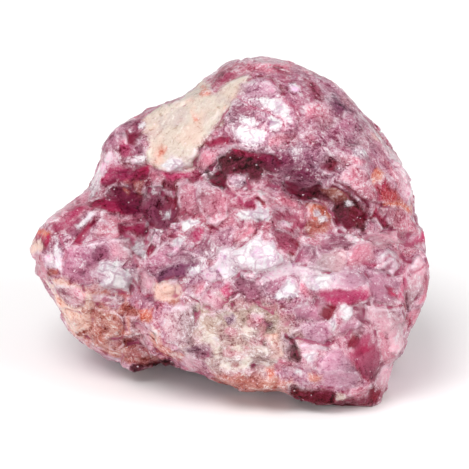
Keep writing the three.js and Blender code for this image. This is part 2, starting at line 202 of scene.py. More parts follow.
# The stone's surface; lengths in mm
surface = {
    "voxel": 0.21,              # the fine mesh, before it is thinned
    "triangles": 196000,
    "sliver": 0.02,             # edges as short as this are taken out
    "lightSteps": (0.6, -0.5) * 4,      # smoothing that keeps the corners
    "lastSteps": (0.5, -0.35),
    "strongPasses": 120,        # smoothing down to the rough form
    "creasePasses": 14,
    # stacks of mica sheets: their size, a layer's thickness, how far they lean, how proud or
    # sunk they are, the groove between two of them
    "books": [
        {"size": 5.4, "layer": 1.10, "lean": 0.40, "relief": 0.55, "groove": 0.06, "share": 0.4, "salt": 3},
        {"size": 2.4, "layer": 0.50, "lean": 0.50, "relief": 0.12, "groove": 0.02, "share": 0.15, "salt": 5},
    ],
    "bookWarp": 0.15,           # how uneven their borders are
    # flat crystal faces: their size and how far they tilt
    "facets": [
        {"size": 4.2, "tilt": 0.45, "salt": 13},
        {"size": 1.9, "tilt": 0.14, "salt": 17},
    ],
    "facetWarp": 0.1,
    "flatness": 0.75,           # how far a face seen from the front is pulled onto a plane
    "lift": 0.5,                # share of the lifts in the lists of faces
    "mostMove": 0.6,            # the most that a face is pulled, and that it is sunk
    "fray": 0.6,                # how uneven the edges of these faces are
    "underside": 0.4,           # up to this height the stone keeps its flat underside
    "groundedAt": (0.15, 1.6),  # heights between which the relief sets in
    "proudAt": (0.2, 0.9),      # what already stands proud gets less relief
    "proudLoss": 0.6,
    "usual": 0.35,              # share of the relief where nothing else is said
    # across, up, half length, half width, turn, share of the relief
    "relief": [
        (3.0, 3.0, 17.0, 7.5, 0, 0.5),
        (18.0, -8.0, 11.0, 12.0, 0, 0.27),
        (-3.0, -8.0, 9.0, 4.0, 0, 0.45),
        (-14.0, 6.0, 5.0, 6.0, 0, 0.7),
        (2.0, 9.5, 7.0, 3.5, 0, 0.8),
        (17.0, 4.0, 7.0, 4.0, 0, 0.7),
        (13.0, 16.0, 16.0, 10.0, -30, 0.12),
        (5.0, 17.2, 6.5, 5.5, 20, 0.12),
        (-21.5, -2.5, 7.0, 5.0, -30, 0.3),
        (-6.0, 16.0, 8.0, 5.0, 30, 0.25),
        (1.0, -16.0, 7.0, 4.5, 0, 0.25),
        (-22.5, -10.0, 6.0, 5.0, -30, 0.35),
        (3.0, -3.0, 4.5, 2.8, 0, 0.3),
    ],
    "melted": 0.5,              # share of the solid's own facets that is smoothed away everywhere
    # the same rows, with that share where it is larger
    "smoothed": [
        (12.0, 17.0, 17.0, 10.5, -30, 1.0),
        (-21.5, -2.5, 7.5, 5.5, -30, 0.75),
        (-6.0, 16.0, 9.0, 5.5, 30, 0.8),
        (-22.5, -10.0, 7.0, 6.0, -30, 0.6),
        (1.0, -16.0, 8.0, 5.0, 0, 0.5),
    ],
}


def neighbourMean(values, edges):
    total = np.zeros_like(values)
    for k in range(values.shape[1]):
        total[:, k] = np.bincount(edges[:, 0], values[edges[:, 1], k], len(values))
        total[:, k] += np.bincount(edges[:, 1], values[edges[:, 0], k], len(values))
    degree = np.bincount(edges.ravel(), minlength=len(values))
    return total / degree[:, None]


def relaxed(points, edges, steps):
    for step in steps:
        points = points + step * (neighbourMean(points, edges) - points)
    return points


def unit(vectors):
    return vectors / np.maximum(np.linalg.norm(vectors, axis=1, keepdims=True), 1e-9)


def vertexNormals(points, faces):
    across = points[faces[:, 2]] - points[faces[:, 0]]
    along = points[faces[:, 3]] - points[faces[:, 1]]
    flat = np.cross(across, along)
    normals = np.zeros_like(points)
    for k in range(3):
        for corner in range(4):
            normals[:, k] += np.bincount(faces[:, corner], flat[:, k], len(points))
    return unit(normals)


# How deep the solid's own front is, behind a point of the picture
def deepAt(tree, across, up):
    start = fromFront(across, up, -100)
    hit = tree.ray_cast(Vector(start), Vector(deepWay))[0]
    if hit is None:
        return 0.0
    return float(toFront(np.array([hit]))[0, 2])


# 1 inside an oval that is drawn on the front, 0 outside it and at other depths
def ovalMask(front, tree, row, depth, noise=0.0):
    across, up, halfLength, halfWidth, turn = row[:5]
    a = math.radians(turn)
    du, dv = front[:, 0] - across, front[:, 1] - up
    x = (du * math.cos(a) + dv * math.sin(a)) / halfLength
    y = (dv * math.cos(a) - du * math.sin(a)) / halfWidth
    z = (front[:, 2] - deepAt(tree, across, up)) / max(depth, halfLength)
    return 1 - smoothStep(np.sqrt(x * x + y * y + z * z) + noise, 0.75, 1.2)


def withModifiers(mesh, modifiers):
    holder = bpy.data.objects.new("holder", mesh)
    bpy.context.scene.collection.objects.link(holder)
    for kind, settings in modifiers:
        modifier = holder.modifiers.new(kind.lower(), kind)
        for name, value in settings.items():
            setattr(modifier, name, value)
    graph = bpy.context.evaluated_depsgraph_get()
    made = bpy.data.meshes.new_from_object(holder.evaluated_get(graph))
    bpy.data.objects.remove(holder)
    return made


def fineMesh():
    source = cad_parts["lepidolite_stone"].data.copy()
    work = bmesh.new()
    work.from_mesh(source)
    bmesh.ops.scale(work, vec=(1 / millimetre,) * 3, verts=work.verts)
    bmesh.ops.remove_doubles(work, verts=work.verts, dist=0.0005)
    work.to_mesh(source)
    work.free()
    return withModifiers(source, [("REMESH", {"mode": "VOXEL", "voxel_size": surface["voxel"]})])


def thinned(mesh):
    ratio = surface["triangles"] / (len(mesh.polygons) * 2)
    thin = withModifiers(mesh, [("TRIANGULATE", {}), ("DECIMATE", {"ratio": ratio})])
    work = bmesh.new()
    work.from_mesh(thin)
    bmesh.ops.dissolve_degenerate(work, dist=surface["sliver"], edges=work.edges)
    work.to_mesh(thin)
    work.free()
    return thin


def readOut(items, name, width, kind=np.float64):
    values = np.empty(len(items) * width, kind)
    items.foreach_get(name, values)
    return values.reshape(-1, width)


def finderOf(points):
    finder = KDTree(len(points))
    for index, point in enumerate(points):
        finder.insert(point, index)
    finder.balance()
    return finder


# The way that each stack of sheets faces: outwards, and leaning by chance
def bookAxes(seeds, luck, lean, finder, normals):
    places, first, which = np.unique(np.round(seeds, 4), axis=0, return_index=True, return_inverse=True)
    found = np.array([normals[finder.find(place)[1]] for place in places])
    tilt = luck[first, :3] * 2 - 1
    return unit(found + lean * tilt)[which.ravel()]


def stepBooks(points, normals, smooth, strength, warp):
    every = 5       # the rough form is smooth, so a fifth of its points will do
    finder = finderOf(smooth[::every])
    for book in surface["books"]:
        size = book["size"]
        seeds, luck, near, far = cellsNear(points + warp * size * surface["bookWarp"], size, book["salt"])
        axes = bookAxes(seeds, luck, book["lean"], finder, normals[::every])
        height = ((points - seeds) * axes).sum(1)
        layer = book["layer"] * (0.5 + luck[:, 3])
        part = height / layer
        whole = np.floor(part)
        stepped = (whole + smoothStep(part - whole, 0.6, 0.95)) * layer
        lean = np.maximum((normals * axes).sum(1), 0.5)
        move = np.clip((stepped - height) / lean + layer * 0.4, -layer, layer)
        move = move + (luck[:, 4] - 0.5) * book["relief"]
        border = 1 - smoothStep(far - near, 0.0, 0.12 * size)
        move = move - border * book["groove"]
        points = points + normals * (move * strength * book["share"])[:, None]
    return points


def tiltFacets(points, normals, strength, warp):
    for facet in surface["facets"]:
        size = facet["size"]
        seeds, luck, near, far = cellsNear(points + warp * size * surface["facetWarp"], size, facet["salt"])
        tilt = (luck[:, :3] - 0.5) * 2 * facet["tilt"]
        move = ((points - seeds) * tilt).sum(1) * smoothStep(far - near, 0, 0.1 * size)
        points = points + normals * (move * strength)[:, None]
    return points


def sculpt(points, edges, faces, tree):
    points = relaxed(points, edges, surface["lightSteps"])
    smooth = points
    for _ in range(surface["strongPasses"]):
        smooth = neighbourMean(smooth, edges)
    normals = vertexNormals(smooth, faces)
    front = toFront(points)
    share = np.full(len(points), surface["usual"])
    for row in surface["relief"]:
        blend(share, row[5], ovalMask(front, tree, row, 8))
    melted = np.full(len(points), surface["melted"])
    for row in surface["smoothed"]:
        melted = np.maximum(melted, row[5] * ovalMask(front, tree, row, 9))
    melted[points[:, 2] < surface["underside"]] = 0.0
    points = points + (smooth - points) * melted[:, None]

    grounded = smoothStep(points[:, 2], *surface["groundedAt"])
    proud = ((points - smooth) * normals).sum(1)
    strength = share * grounded * (1 - surface["proudLoss"] * smoothStep(proud, *surface["proudAt"]))
    warp = warpAt(points, 2.2, 20, 2)
    points = stepBooks(points, normals, smooth, strength, warp)
    points = tiltFacets(points, normals, strength, warp)
    points = shapeFaces(points, normals, tree)
    points = relaxed(points, edges, surface["lastSteps"])
    points[:, 2] = np.maximum(points[:, 2], 0)
    return points, smooth, normals


# Colours of the stone, as red, green and blue of the screen
tones = {
    # White and pearl are the mica's pearly colour; on faces that catch the light they are also a painted
    # highlight
    "white": (226, 216, 222),
    "pearl": (214, 186, 198),
    "lilac": (178, 130, 150),
    "mauve": (160, 100, 124),
    "chalk": (214, 202, 190),
    "pinkMauve": (178, 112, 130),
    "darkRose": (148, 60, 88),
    "plum": (136, 72, 96),
    "purple": (116, 54, 88),
    "greyLilac": (158, 126, 142),
    "blush": (200, 150, 163),
    "petal": (184, 148, 154),
    "rose": (188, 116, 134),
    "magenta": (172, 56, 98),
    "crimson": (148, 18, 62),
    "maroon": (114, 6, 30),
    # The mica's dark wine, used only in the recesses and along the underside, where it is partly painted
    # shade
    "night": (66, 0, 14),
    "wine": (116, 22, 64),
    "cream": (204, 192, 178),
    "ash": (170, 143, 132),
    "peach": (220, 182, 168),
    "orange": (198, 92, 60),
    "salmon": (200, 133, 120),
    "rust": (156, 77, 66),
}


def linear(tone):
    srgb = np.array(tones[tone]) / 255
    return np.where(srgb <= 0.04045, srgb / 12.92, ((srgb + 0.055) / 1.055) ** 2.4)


# How dull and even the matrix is, which has no flakes
earthy = {"cream": 1.0, "peach": 0.8, "chalk": 0.6, "ash": 0.6, "orange": 0.6, "rust": 0.6, "salmon": 0.6}

# The stone's colours from dark to pale, where nothing else is said
stoneRamp = ["maroon", "magenta", "mauve", "rose", "lilac", "blush", "pearl"]

# Zones of the sides and the back: tone, size in mm, how rare, share of pearly flakes, salt
backZones = [
    ("lilac", 9, 0.5, 0.2, 105), ("plum", 6, 0.56, 0.08, 104), ("darkRose", 5, 0.57, 0.05, 108),
    ("salmon", 10, 0.58, 0.05, 106), ("ash", 8, 0.66, 0.1, 103), ("pearl", 4.5, 0.57, 0.55, 105),
    ("white", 3.6, 0.63, 0.9, 105), ("maroon", 4, 0.63, 0.03, 106),
]

# Broad colours seen from the front: across, up, half length, half width, turn, tone
washes = [
    (12, 17, 17, 10, -30, "mauve"), (9, 11, 7, 3, -15, "greyLilac"), (14, 22.4, 7, 1.8, -38, "lilac"),
    (25, 10, 6, 1.6, -65, "blush"), (-13, 5, 8, 7, 0, "maroon"), (-22, -2, 8, 6, -30, "mauve"),
    (-21, -12, 7, 6, -30, "salmon"), (0, 4, 8, 5, 0, "rose"), (10, 1, 6, 4, 0, "rose"),
    (2, -5.5, 13, 4, -8, "pearl"), (-7, -5, 6, 4, 0, "lilac"), (18, -6, 9, 5, 0, "lilac"),
    (18, -15, 8, 7, 0, "blush"), (11, -13, 4, 4, 0, "lilac"), (1, -15, 9, 6, 0, "ash"),
    # The maroon along the bottom edge darkens the undercut front: partly painted shade
    (4, -22.6, 9, 1.4, -5, "salmon"), (16, -25, 8, 1.7, -8, "maroon"),
    (-15, -17.5, 7, 1.8, -25, "rust"),
]

# The same again, laid thinly over the painted faces
veils = [
    (10.5, 10.8, 5, 2.6, -20, "purple"), (9.6, 9.6, 5, 1.6, -12, "wine"),
    (15.2, 10.8, 1.8, 1.2, 0, "night"), (4.5, 12, 4.5, 1.3, -5, "wine"), (13, 14.5, 4, 3, -40, "mauve"),
    (17.5, 3.5, 3.6, 3, -20, "night"), (18.4, 2.8, 2, 2, 0, "maroon"), (14, 5.8, 3, 1.3, -20, "night"),
    (10.8, 5.5, 3.4, 1.5, -25, "night"), (9.4, 6.4, 2.4, 1.2, -10, "wine"),
    (2, 10.4, 4.5, 1.8, 0, "night"), (11.5, 6.2, 3.4, 1.2, -20, "night"),
    (-14.5, 5.2, 4.5, 2, 0, "night"), (-14.5, 6, 6, 4, 0, "wine"), (-11.5, 1.5, 4.5, 3, -20, "wine"),
    (-14.5, 14.2, 2.2, 2.6, 0, "wine"), (-16, 9.4, 3, 1.5, 0, "magenta"),
    (-24.6, 1.8, 4.2, 1.4, 40, "crimson"), (-23.5, 3.2, 3.4, 1.2, 40, "magenta"),
    (-9, -5.6, 3, 1.2, 20, "purple"), (-20.4, -2.6, 2.4, 1.5, 20, "purple"),
    (-18, -13, 5.6, 3.6, -25, "rust"), (-16.5, -17.4, 4, 1.4, -25, "salmon"),
    (12.8, 3, 2, 1.8, 0, "rust"), (25.3, 9.5, 5.5, 1.2, -66, "pearl"), (4.5, -4.2, 9, 1.8, -6, "pearl"),
    (13.5, -6.6, 3, 1.4, 0, "white"), (19.5, -6.6, 3.5, 1.4, 20, "lilac"),
    # The maroon along the bottom edge is partly painted shade of the undercut front
    (23, -0.6, 4, 1.2, 10, "blush"), (13.5, -24, 6, 1.4, -8, "maroon"),
    (20, -17.6, 2, 4, 15, "darkRose"), (23, 5.4, 2.6, 2, -50, "crimson"),
    (24, 5.6, 2.2, 1.2, -50, "orange"), (-17.6, -6.4, 3.8, 2.4, 10, "white"),
    (2.5, -21.4, 6, 1.2, -5, "salmon"), (1, -17, 7, 4, 0, "greyLilac"),
    (21.5, 13, 3.4, 2, -60, "blush"), (-10.5, 3.5, 2, 3, 0, "plum"), (-12, 2, 5, 2.5, 0, "wine"),
    (-10.4, 0.4, 2.6, 2, -60, "plum"), (3.6, 20.6, 3.4, 1.2, -10, "lilac"),
    (1.4, 18.6, 1.8, 1.2, 0, "plum"),
]

# The faces that can be made out from the front: tone, how proud in mm, share of pale pearly flakes, which is
# partly a painted highlight where the face catches the light, outline
dome = [
    ("rose", 0, 0.1, [(-3.6, 22.2), (-3, 24.4), (-1.6, 25.6), (4.5, 26.4), (9.5, 25.4), (8.6, 23.6),
        (3.6, 24.6), (-2, 22)]),
    ("blush", 0, 0.3, [(-2, 25.2), (1, 26.1), (5, 26.2), (10, 25.2), (15, 22.8), (18, 19.8), (19, 20),
        (15.5, 24), (10, 27), (4, 27.5), (-1.5, 27)]),
    ("darkRose", 0, 0.05, [(-2.6, 22.9), (-1.9, 24.2), (0.8, 23.6), (-1.8, 22.3)]),
    ("darkRose", 0, 0.05, [(6.4, 24.9), (8, 24.9), (8.8, 24.1), (7.6, 23.6), (6.6, 24.2)]),
    ("white", 0.2, 0.7, [(8.4, 22.6), (9.6, 22.8), (10.2, 21), (9, 21.4)]),
    ("darkRose", 0, 0.05, [(10.2, 22.6), (11, 23.3), (12.8, 22.4), (14.2, 20.4), (13, 19.9)]),
    ("purple", 0, 0.05, [(13.8, 20.4), (15.4, 21.2), (18.6, 18.4), (18, 17.6), (14, 19.2)]),
    ("rose", 0, 0.15, [(11, 19.6), (13.5, 19.4), (15.5, 16), (14, 15), (12.5, 16.5), (11, 17)]),
    ("rose", 0.25, 0.2, [(10.4, 15), (12.2, 16.2), (12.9, 14.4), (12.6, 12.6)]),
    ("mauve", -0.2, 0.12, [(15.6, 17.2), (17, 18), (19.4, 17.2), (20, 14), (18.4, 13.2), (16, 13.6),
        (15.4, 15.2)]),
    ("greyLilac", 0, 0.5, [(17.6, 12.2), (18, 13.4), (20, 13.2), (20.4, 11.6), (18.6, 11.2)]),
    ("rose", 0, 0.2, [(15.4, 12.6), (19.8, 10.8), (19, 9.8), (16.4, 9.6), (15.6, 10.8)]),
    ("purple", -0.3, 0, [(20.2, 13.8), (20.8, 13.8), (22.1, 11.9), (21.6, 11.4)]),
    ("peach", 0.2, 0.1, [(21, 15.4), (22.5, 14.6), (22.4, 13.6), (21, 14.4)]),
    ("lilac", 0.25, 0.3, [(1.2, 22), (3.5, 23), (5.8, 23), (8.6, 20), (9.9, 17), (9.5, 15.4), (7, 15.2),
        (5.4, 14.2), (5, 13.2), (3.8, 12.4), (1.8, 12.6), (-0.8, 15.4), (-1, 17.4), (0.3, 19.4)]),
    ("lilac", 0, 0.1, [(1.2, 22), (3.5, 22.9), (6.3, 22.5), (7, 20.6), (1.2, 20.4)]),
    ("plum", 0, 0.1, [(0, 18.8), (1.6, 19.6), (3.4, 18.8), (3.2, 17.9), (1.6, 18), (0.4, 17.2)]),
    ("white", 0.15, 0.9, [(3.9, 20.2), (5.6, 20.2), (7.6, 19.6), (9.2, 16.9), (8.3, 15.9), (7, 17.3),
        (5.9, 17.5), (4.2, 19)]),
    ("white", 0.15, 0.9, [(5.5, 17.1), (7, 16.8), (7.4, 15.9), (6.2, 15.2), (5.5, 15.6)]),
    ("white", 0.15, 0.95, [(1.7, 17.6), (3.5, 17.8), (3.5, 16.3), (2.2, 16.1)]),
    ("white", 0.1, 0.85, [(0.4, 15.4), (2.8, 15.7), (4.8, 15.4), (4.7, 14.4), (3.2, 13.2), (1.6, 13.6)]),
    ("rose", 0, 0.15, [(5.4, 14.4), (7.4, 15), (9.8, 15), (10, 13), (7.6, 12.4), (5.6, 13)]),
    ("mauve", 0, 0.25, [(9.6, 12.4), (12.6, 12.8), (13, 11), (11.6, 10.4), (9.6, 10.8)]),
    ("plum", 0, 0.3, [(5.6, 12.8), (8.8, 12.4), (9.6, 10.8), (8.2, 10.2)]),
    ("maroon", -0.4, 0.05, [(12.7, 11.2), (14.4, 12.2), (15.8, 10.8), (15.2, 9.8), (13.2, 9.9)]),
    ("plum", 0.1, 0.3, [(8, 9.4), (10, 10), (13, 9.8), (15, 9), (14.6, 8.4), (9, 8.8)]),
]
# The recess under the dome: its darkest faces are partly painted shade
pocket = [
    ("night", -1, 0.02, [(-1.8, 11.6), (0.6, 13.2), (2.2, 12.2), (6.6, 11.8), (7.6, 10.4), (6.6, 9.2),
        (5, 9.2), (4.2, 7.9), (3, 7.5), (2.3, 8.6), (0.6, 8.9), (-0.6, 8), (-1, 6.5), (-4, 8.4), (-3.6, 9.6),
        (-2.2, 9.8)]),
    ("crimson", 0.3, 0.05, [(0.2, 12.8), (6.4, 11.6), (6.2, 10.8), (1.4, 11.4)]),
    ("night", -1, 0.02, [(7.9, 8), (9.4, 6), (10.8, 5.1), (13.2, 5), (15, 7.4), (17.2, 6.4), (19.9, 3),
        (19.8, 0.4), (15.4, 1.2), (15, 3.2), (15.4, 5), (13.8, 5), (13.4, 7.6)]),
    ("mauve", 0.4, 0.15, [(8.1, 7.9), (9.2, 8.6), (13.2, 7.8), (11.4, 6.9), (9.6, 6.8)]),
    ("rust", 0.4, 0.1, [(13.4, 6.6), (15, 7.2), (17, 6.2), (17.4, 5.4), (15.2, 5), (14, 5.6)]),
    ("white", 0.5, 1, [(16.4, 5), (17.2, 5.3), (17.8, 4.7), (17.4, 4.2), (16.6, 4.4)]),
    ("rose", 0.4, 0.15, [(16.4, 9.4), (17.4, 10.2), (20, 9.6), (21.8, 6), (21.6, 4.9), (19.8, 5.2),
        (16.2, 8.2)]),
    ("orange", 0.2, 0.05, [(20.8, 9.2), (21.9, 9.7), (23, 8.8), (22.6, 7.4), (21, 7.6)]),
    ("crimson", -0.3, 0.05, [(21, 7.6), (23, 8.6), (25.2, 5.6), (24.8, 4.6), (22.6, 4.8)]),
    ("orange", 0.2, 0.1, [(22.4, 4.8), (25.4, 5.2), (26.7, 3.4), (26.3, 3), (25, 4.4), (22.6, 4.3)]),
    ("crimson", -0.6, 0.03, [(21.2, 5), (22.2, 4.6), (23.2, 1.2), (22.6, 1), (21.6, 2.6), (20.2, 2.4)]),
    ("rose", 0.4, 0.2, [(22.3, 3.9), (24.8, 4.2), (26.9, 2.6), (27.4, 0.6), (25, 0.4), (23.6, 1.4)]),
    ("blush", 0.1, 0.4, [(20.8, 16.6), (22.4, 15.4), (26.9, 8), (27.6, 3.6), (26.7, 3.4), (25.6, 7.6)]),
    ("rose", 0, 0.1, [(22.4, 11.4), (23.2, 11.6), (25, 9), (25.6, 7), (24.8, 7)]),
]
shoulder = [
    ("lilac", 0.2, 0.2, [(-17.4, 16), (-16, 17.2), (-14.7, 17.3), (-15.2, 15.2), (-16.3, 14.6),
        (-17.5, 15.2)]),
    ("mauve", 0.2, 0.2, [(-19, 13), (-17.5, 15.2), (-16.4, 14.4), (-16.6, 12.6), (-18.6, 12)]),
    ("plum", 0, 0.2, [(-14.8, 16.9), (-13.4, 17.2), (-12.8, 15.6), (-14, 15.3)]),
    ("maroon", -0.3, 0.08, [(-15.4, 15.3), (-14.6, 14.7), (-13.2, 15.3), (-12.7, 14.4), (-14.3, 13.2),
        (-15, 13.6)]),
    ("magenta", 0, 0.12, [(-16.6, 14.2), (-15.2, 14.6), (-14.9, 12), (-16.4, 11.2), (-17, 12.2)]),
    ("mauve", 0, 0.15, [(-15, 13.4), (-13.2, 13.2), (-12.6, 12.2), (-14.6, 11.8)]),
    ("pearl", 0.3, 0.7, [(-14.8, 11.6), (-13, 12.4), (-12.4, 11.2), (-14.6, 10.5)]),
    ("white", 0.3, 1, [(-13.9, 16.3), (-13.2, 16.6), (-12.9, 15.9), (-13.6, 15.7)]),
    ("magenta", -0.7, 0.04, [(-18.6, 9.8), (-17.6, 10.8), (-14, 10.7), (-14.3, 8.6), (-16.6, 8.3),
        (-18.2, 7.2), (-19.6, 7.9)]),
    ("crimson", -0.8, 0.03, [(-14.2, 10.5), (-11.6, 10.4), (-12.2, 8.8), (-13.4, 8), (-14.5, 8.6)]),
    ("rose", 0, 0.1, [(-11.8, 9.6), (-9.4, 9.4), (-9, 8), (-10.6, 7.6), (-12, 8.4)]),
    ("rust", 0.3, 0.12, [(-16.6, 8.2), (-15.4, 8.6), (-14.9, 7.6), (-16.2, 7)]),
    ("rust", 0.3, 0.12, [(-14.6, 7.6), (-13.6, 8.2), (-12.5, 8.2), (-12.7, 6.8), (-14.6, 6.4)]),
    ("night", -1, 0.05, [(-18.4, 6.6), (-16, 7), (-14.8, 6.2), (-12.8, 6.1), (-12.6, 4), (-14.2, 3.4),
        (-16.3, 4), (-18.8, 5.6)]),
    ("orange", 0.3, 0.3, [(-13.7, 6.7), (-13, 6.9), (-12.6, 6.2), (-13.4, 6)]),
    ("orange", 0.3, 0.2, [(-16.4, 6.5), (-15.9, 6.7), (-15, 5.6), (-15.4, 5.4)]),
    ("crimson", -0.5, 0.04, [(-21.2, 5.6), (-18.6, 5.7), (-15.4, 3.5), (-19.8, 3.6), (-21.6, 4.2)]),
    ("pearl", 0.4, 0.6, [(-17.8, 11.7), (-18.4, 9.4), (-21.4, 5.2), (-21.6, 6.3), (-18.6, 11.3)]),
    ("lilac", 0.1, 0.3, [(-20.2, 9.6), (-18.8, 12.8), (-19.6, 13), (-20.8, 10)]),
    ("plum", -0.4, 0.14, [(-12.8, 5.8), (-12.2, 7), (-10.6, 7.3), (-9, 6.5), (-8, 5.4), (-7.9, 0.6),
        (-9.6, -0.3), (-12.3, 1.4), (-13.2, 3.6)]),
    ("maroon", -0.3, 0.1, [(-10.4, 6.4), (-9, 6.4), (-8.1, 5.2), (-8.4, 3.8), (-10, 4.4)]),
    ("pearl", 0.3, 0.7, [(-11.6, 7.2), (-10.7, 7.2), (-10.5, 6.3), (-11.5, 6.3)]),
    ("pearl", 0.2, 0.6, [(-10.2, 3.8), (-9.3, 3.8), (-9.1, 2.7), (-10.1, 2.7)]),
    ("crimson", -0.4, 0.08, [(-16.6, 1.6), (-12.9, 1.9), (-12.8, -0.6), (-15.6, -0.4), (-16.7, 0.4)]),
    ("rose", 0.2, 0.15, [(-19.6, 3.4), (-13.2, 3.3), (-13, 2), (-16.8, 1.7), (-18.6, 2)]),
    ("rose", 0.3, 0.2, [(-20.6, 0.4), (-19.2, 2), (-17, 1.6), (-16.2, -0.4), (-18.6, -0.8)]),
    ("pearl", 0.4, 0.5, [(-12.5, 1.6), (-10.4, 0.4), (-10.8, -1.4), (-12.6, -0.8)]),
]
wing = [
    ("blush", 0.1, 0.35, [(-21.4, 6.6), (-25, 5), (-28, 1.6), (-27.2, 1.4), (-23.4, 4.2), (-21.2, 5.2)]),
    ("darkRose", 0.3, 0.03, [(-21.2, 4.8), (-23.6, 4), (-27.2, 1.2), (-26.8, 0), (-24.6, 1), (-22.6, 2.8),
        (-20.4, 3.6)]),
    ("plum", 0.1, 0.12, [(-24, 2.2), (-21.2, 3.3), (-20.3, 2.7), (-22.6, -0.1), (-24.6, 0.1)]),
    ("white", 0.3, 0.8, [(-20.9, 3.3), (-20.2, 3), (-22.2, 0.7), (-22.8, 1)]),
    ("crimson", -0.6, 0.02, [(-20.3, 2.4), (-19.9, 1.9), (-22.4, -1.2), (-24, -1.7)]),
    ("orange", 0.1, 0.1, [(-29, 0), (-28, 0.9), (-27.2, 0.2), (-28.2, -0.4)]),
    ("crimson", -0.2, 0.05, [(-28.9, -0.6), (-28.2, 0), (-27, -0.3), (-27.6, -1.7), (-28.4, -1.9)]),
    ("peach", 0.1, 0.1, [(-30.2, -1.5), (-28.9, -0.6), (-28, -1.8), (-28.6, -2.8), (-29.9, -2.8)]),
    ("rose", 0.1, 0.1, [(-29.8, -2.9), (-28, -2.8), (-27.3, -4.6), (-27, -7.4), (-28.4, -7.8),
        (-29.6, -4.6)]),
    ("pearl", 0.3, 0.55, [(-27.8, -3), (-26.9, -2.9), (-26.2, -4.8), (-27, -4.9)]),
    ("white", 0.4, 0.7, [(-27.2, -0.2), (-26.1, 0.1), (-25.9, -1.6), (-24.4, -3.3), (-24.2, -4.4),
        (-25, -5.3), (-26.2, -4.6), (-26.4, -1.4)]),
    ("rust", -0.2, 0.05, [(-27.2, -5), (-25.7, -5.2), (-25.9, -6), (-27, -6)]),
    ("mauve", 0.3, 0.28, [(-24, -1.6), (-22, -1.6), (-19.4, -0.8), (-15, -0.4), (-13.6, -4.4), (-15, -7),
        (-15, -8.6), (-20.5, -7), (-23, -7.4), (-25, -6.2)]),
    ("plum", 0, 0.08, [(-20.8, -1.4), (-19, -1.2), (-18.8, -3), (-20, -3.4), (-21, -2.4)]),
    ("plum", 0, 0.1, [(-21.6, -4.2), (-20, -4), (-19.8, -5), (-21.2, -5.2)]),
    ("plum", 0, 0.1, [(-23.2, -5.4), (-22, -5), (-21.6, -6), (-22.8, -6.4)]),
    ("blush", 0, 0.3, [(-18.4, -0.9), (-15, -0.6), (-14.8, -3.6), (-17, -4), (-18, -2.6)]),
    ("white", 0.2, 1.2, [(-19.2, -4.2), (-17.2, -4.1), (-17.2, -5.1), (-15.4, -5.2), (-15, -7),
        (-15.6, -8.2), (-19.8, -7.4), (-19.6, -6.5), (-17.9, -5.9), (-19.6, -5.2)]),
    ("white", 0.4, 1, [(-14.6, -1.2), (-13.6, -1), (-12.9, -1.9), (-12.8, -3.3), (-13.4, -3.5),
        (-14.4, -2.6)]),
    ("crimson", -0.4, 0.1, [(-12.9, -0.8), (-11.4, -1.2), (-10.7, -2.2), (-11.9, -3.6), (-12.6, -2.8)]),
    ("blush", 0.2, 0.3, [(-14.5, -6), (-12.4, -5.2), (-11, -6.8), (-11.6, -8), (-14, -7.6)]),
    ("plum", -0.3, 0.1, [(-13.6, -8.6), (-12.2, -8.2), (-11, -10.2), (-13.2, -9.3)]),
]
flank = [
    ("peach", 0, 0.12, [(-27.4, -7), (-25, -6.5), (-22.4, -7.6), (-21, -8.8), (-20.8, -13), (-22, -15),
        (-23.8, -15.4), (-26.8, -10)]),
    ("blush", 0.2, 0.2, [(-26, -7.6), (-23.4, -7.6), (-21.8, -9.2), (-22.4, -10.6), (-25, -10)]),
    ("rust", -0.2, 0.05, [(-22.8, -14.2), (-21, -13.8), (-20.6, -14.6), (-22.6, -14.7)]),
    ("orange", 0, 0.1, [(-20.8, -8.4), (-18.6, -8.1), (-16, -9.1), (-16.2, -9.6), (-18.8, -8.8),
        (-20.6, -9)]),
    ("pearl", 0.4, 0.5, [(-20.6, -9), (-19.4, -8.7), (-17, -9.3), (-15.6, -10.2), (-17, -10.8),
        (-20.4, -9.9)]),
    ("salmon", 0.1, 0.1, [(-20.2, -10.7), (-17.4, -11), (-16.6, -12), (-15, -12.4), (-15, -14.4),
        (-16.4, -15), (-19, -14.8), (-20.4, -13)]),
    ("rust", -0.1, 0.05, [(-19.4, -13.1), (-17.9, -13), (-17.9, -14.6), (-19, -14.6)]),
    ("blush", 0.2, 0.1, [(-17, -11.6), (-15.8, -12.2), (-15.2, -14.2), (-15.9, -14.2)]),
    ("rust", -0.2, 0.03, [(-16.9, -11), (-15.2, -10.3), (-13.2, -11), (-13, -12), (-16.6, -11.6)]),
    ("orange", 0.1, 0.1, [(-13, -11.2), (-11.4, -10.9), (-11.4, -12.4), (-12.2, -12.9), (-13.2, -12)]),
    ("blush", 0.3, 0.12, [(-14.8, -12.6), (-13, -12.8), (-11.8, -14), (-11.6, -16), (-13, -16.8),
        (-14.2, -15.6)]),
    ("maroon", -0.3, 0.05, [(-16.2, -15.2), (-14.4, -14.4), (-13.9, -16.2), (-15.4, -16.4)]),
    ("salmon", 0.2, 0.1, [(-11.8, -13), (-10.6, -14.4), (-10, -16.4), (-7, -18.4), (-7.2, -19),
        (-9.4, -18.4), (-11.2, -17), (-12, -15)]),
    ("greyLilac", 0, 0.3, [(-18.6, -15.1), (-16.4, -15.2), (-16, -16.4), (-18, -16.4)]),
    ("night", -0.2, 0, [(-15.4, -20.1), (-14.6, -19.6), (-12.5, -19.9), (-13.6, -20.8), (-14.8, -21)]),
    ("night", -0.2, 0, [(-12.4, -19.3), (-10, -18.7), (-8, -18.9), (-8.2, -19.8), (-10.4, -20.4),
        (-12.6, -20)]),
]
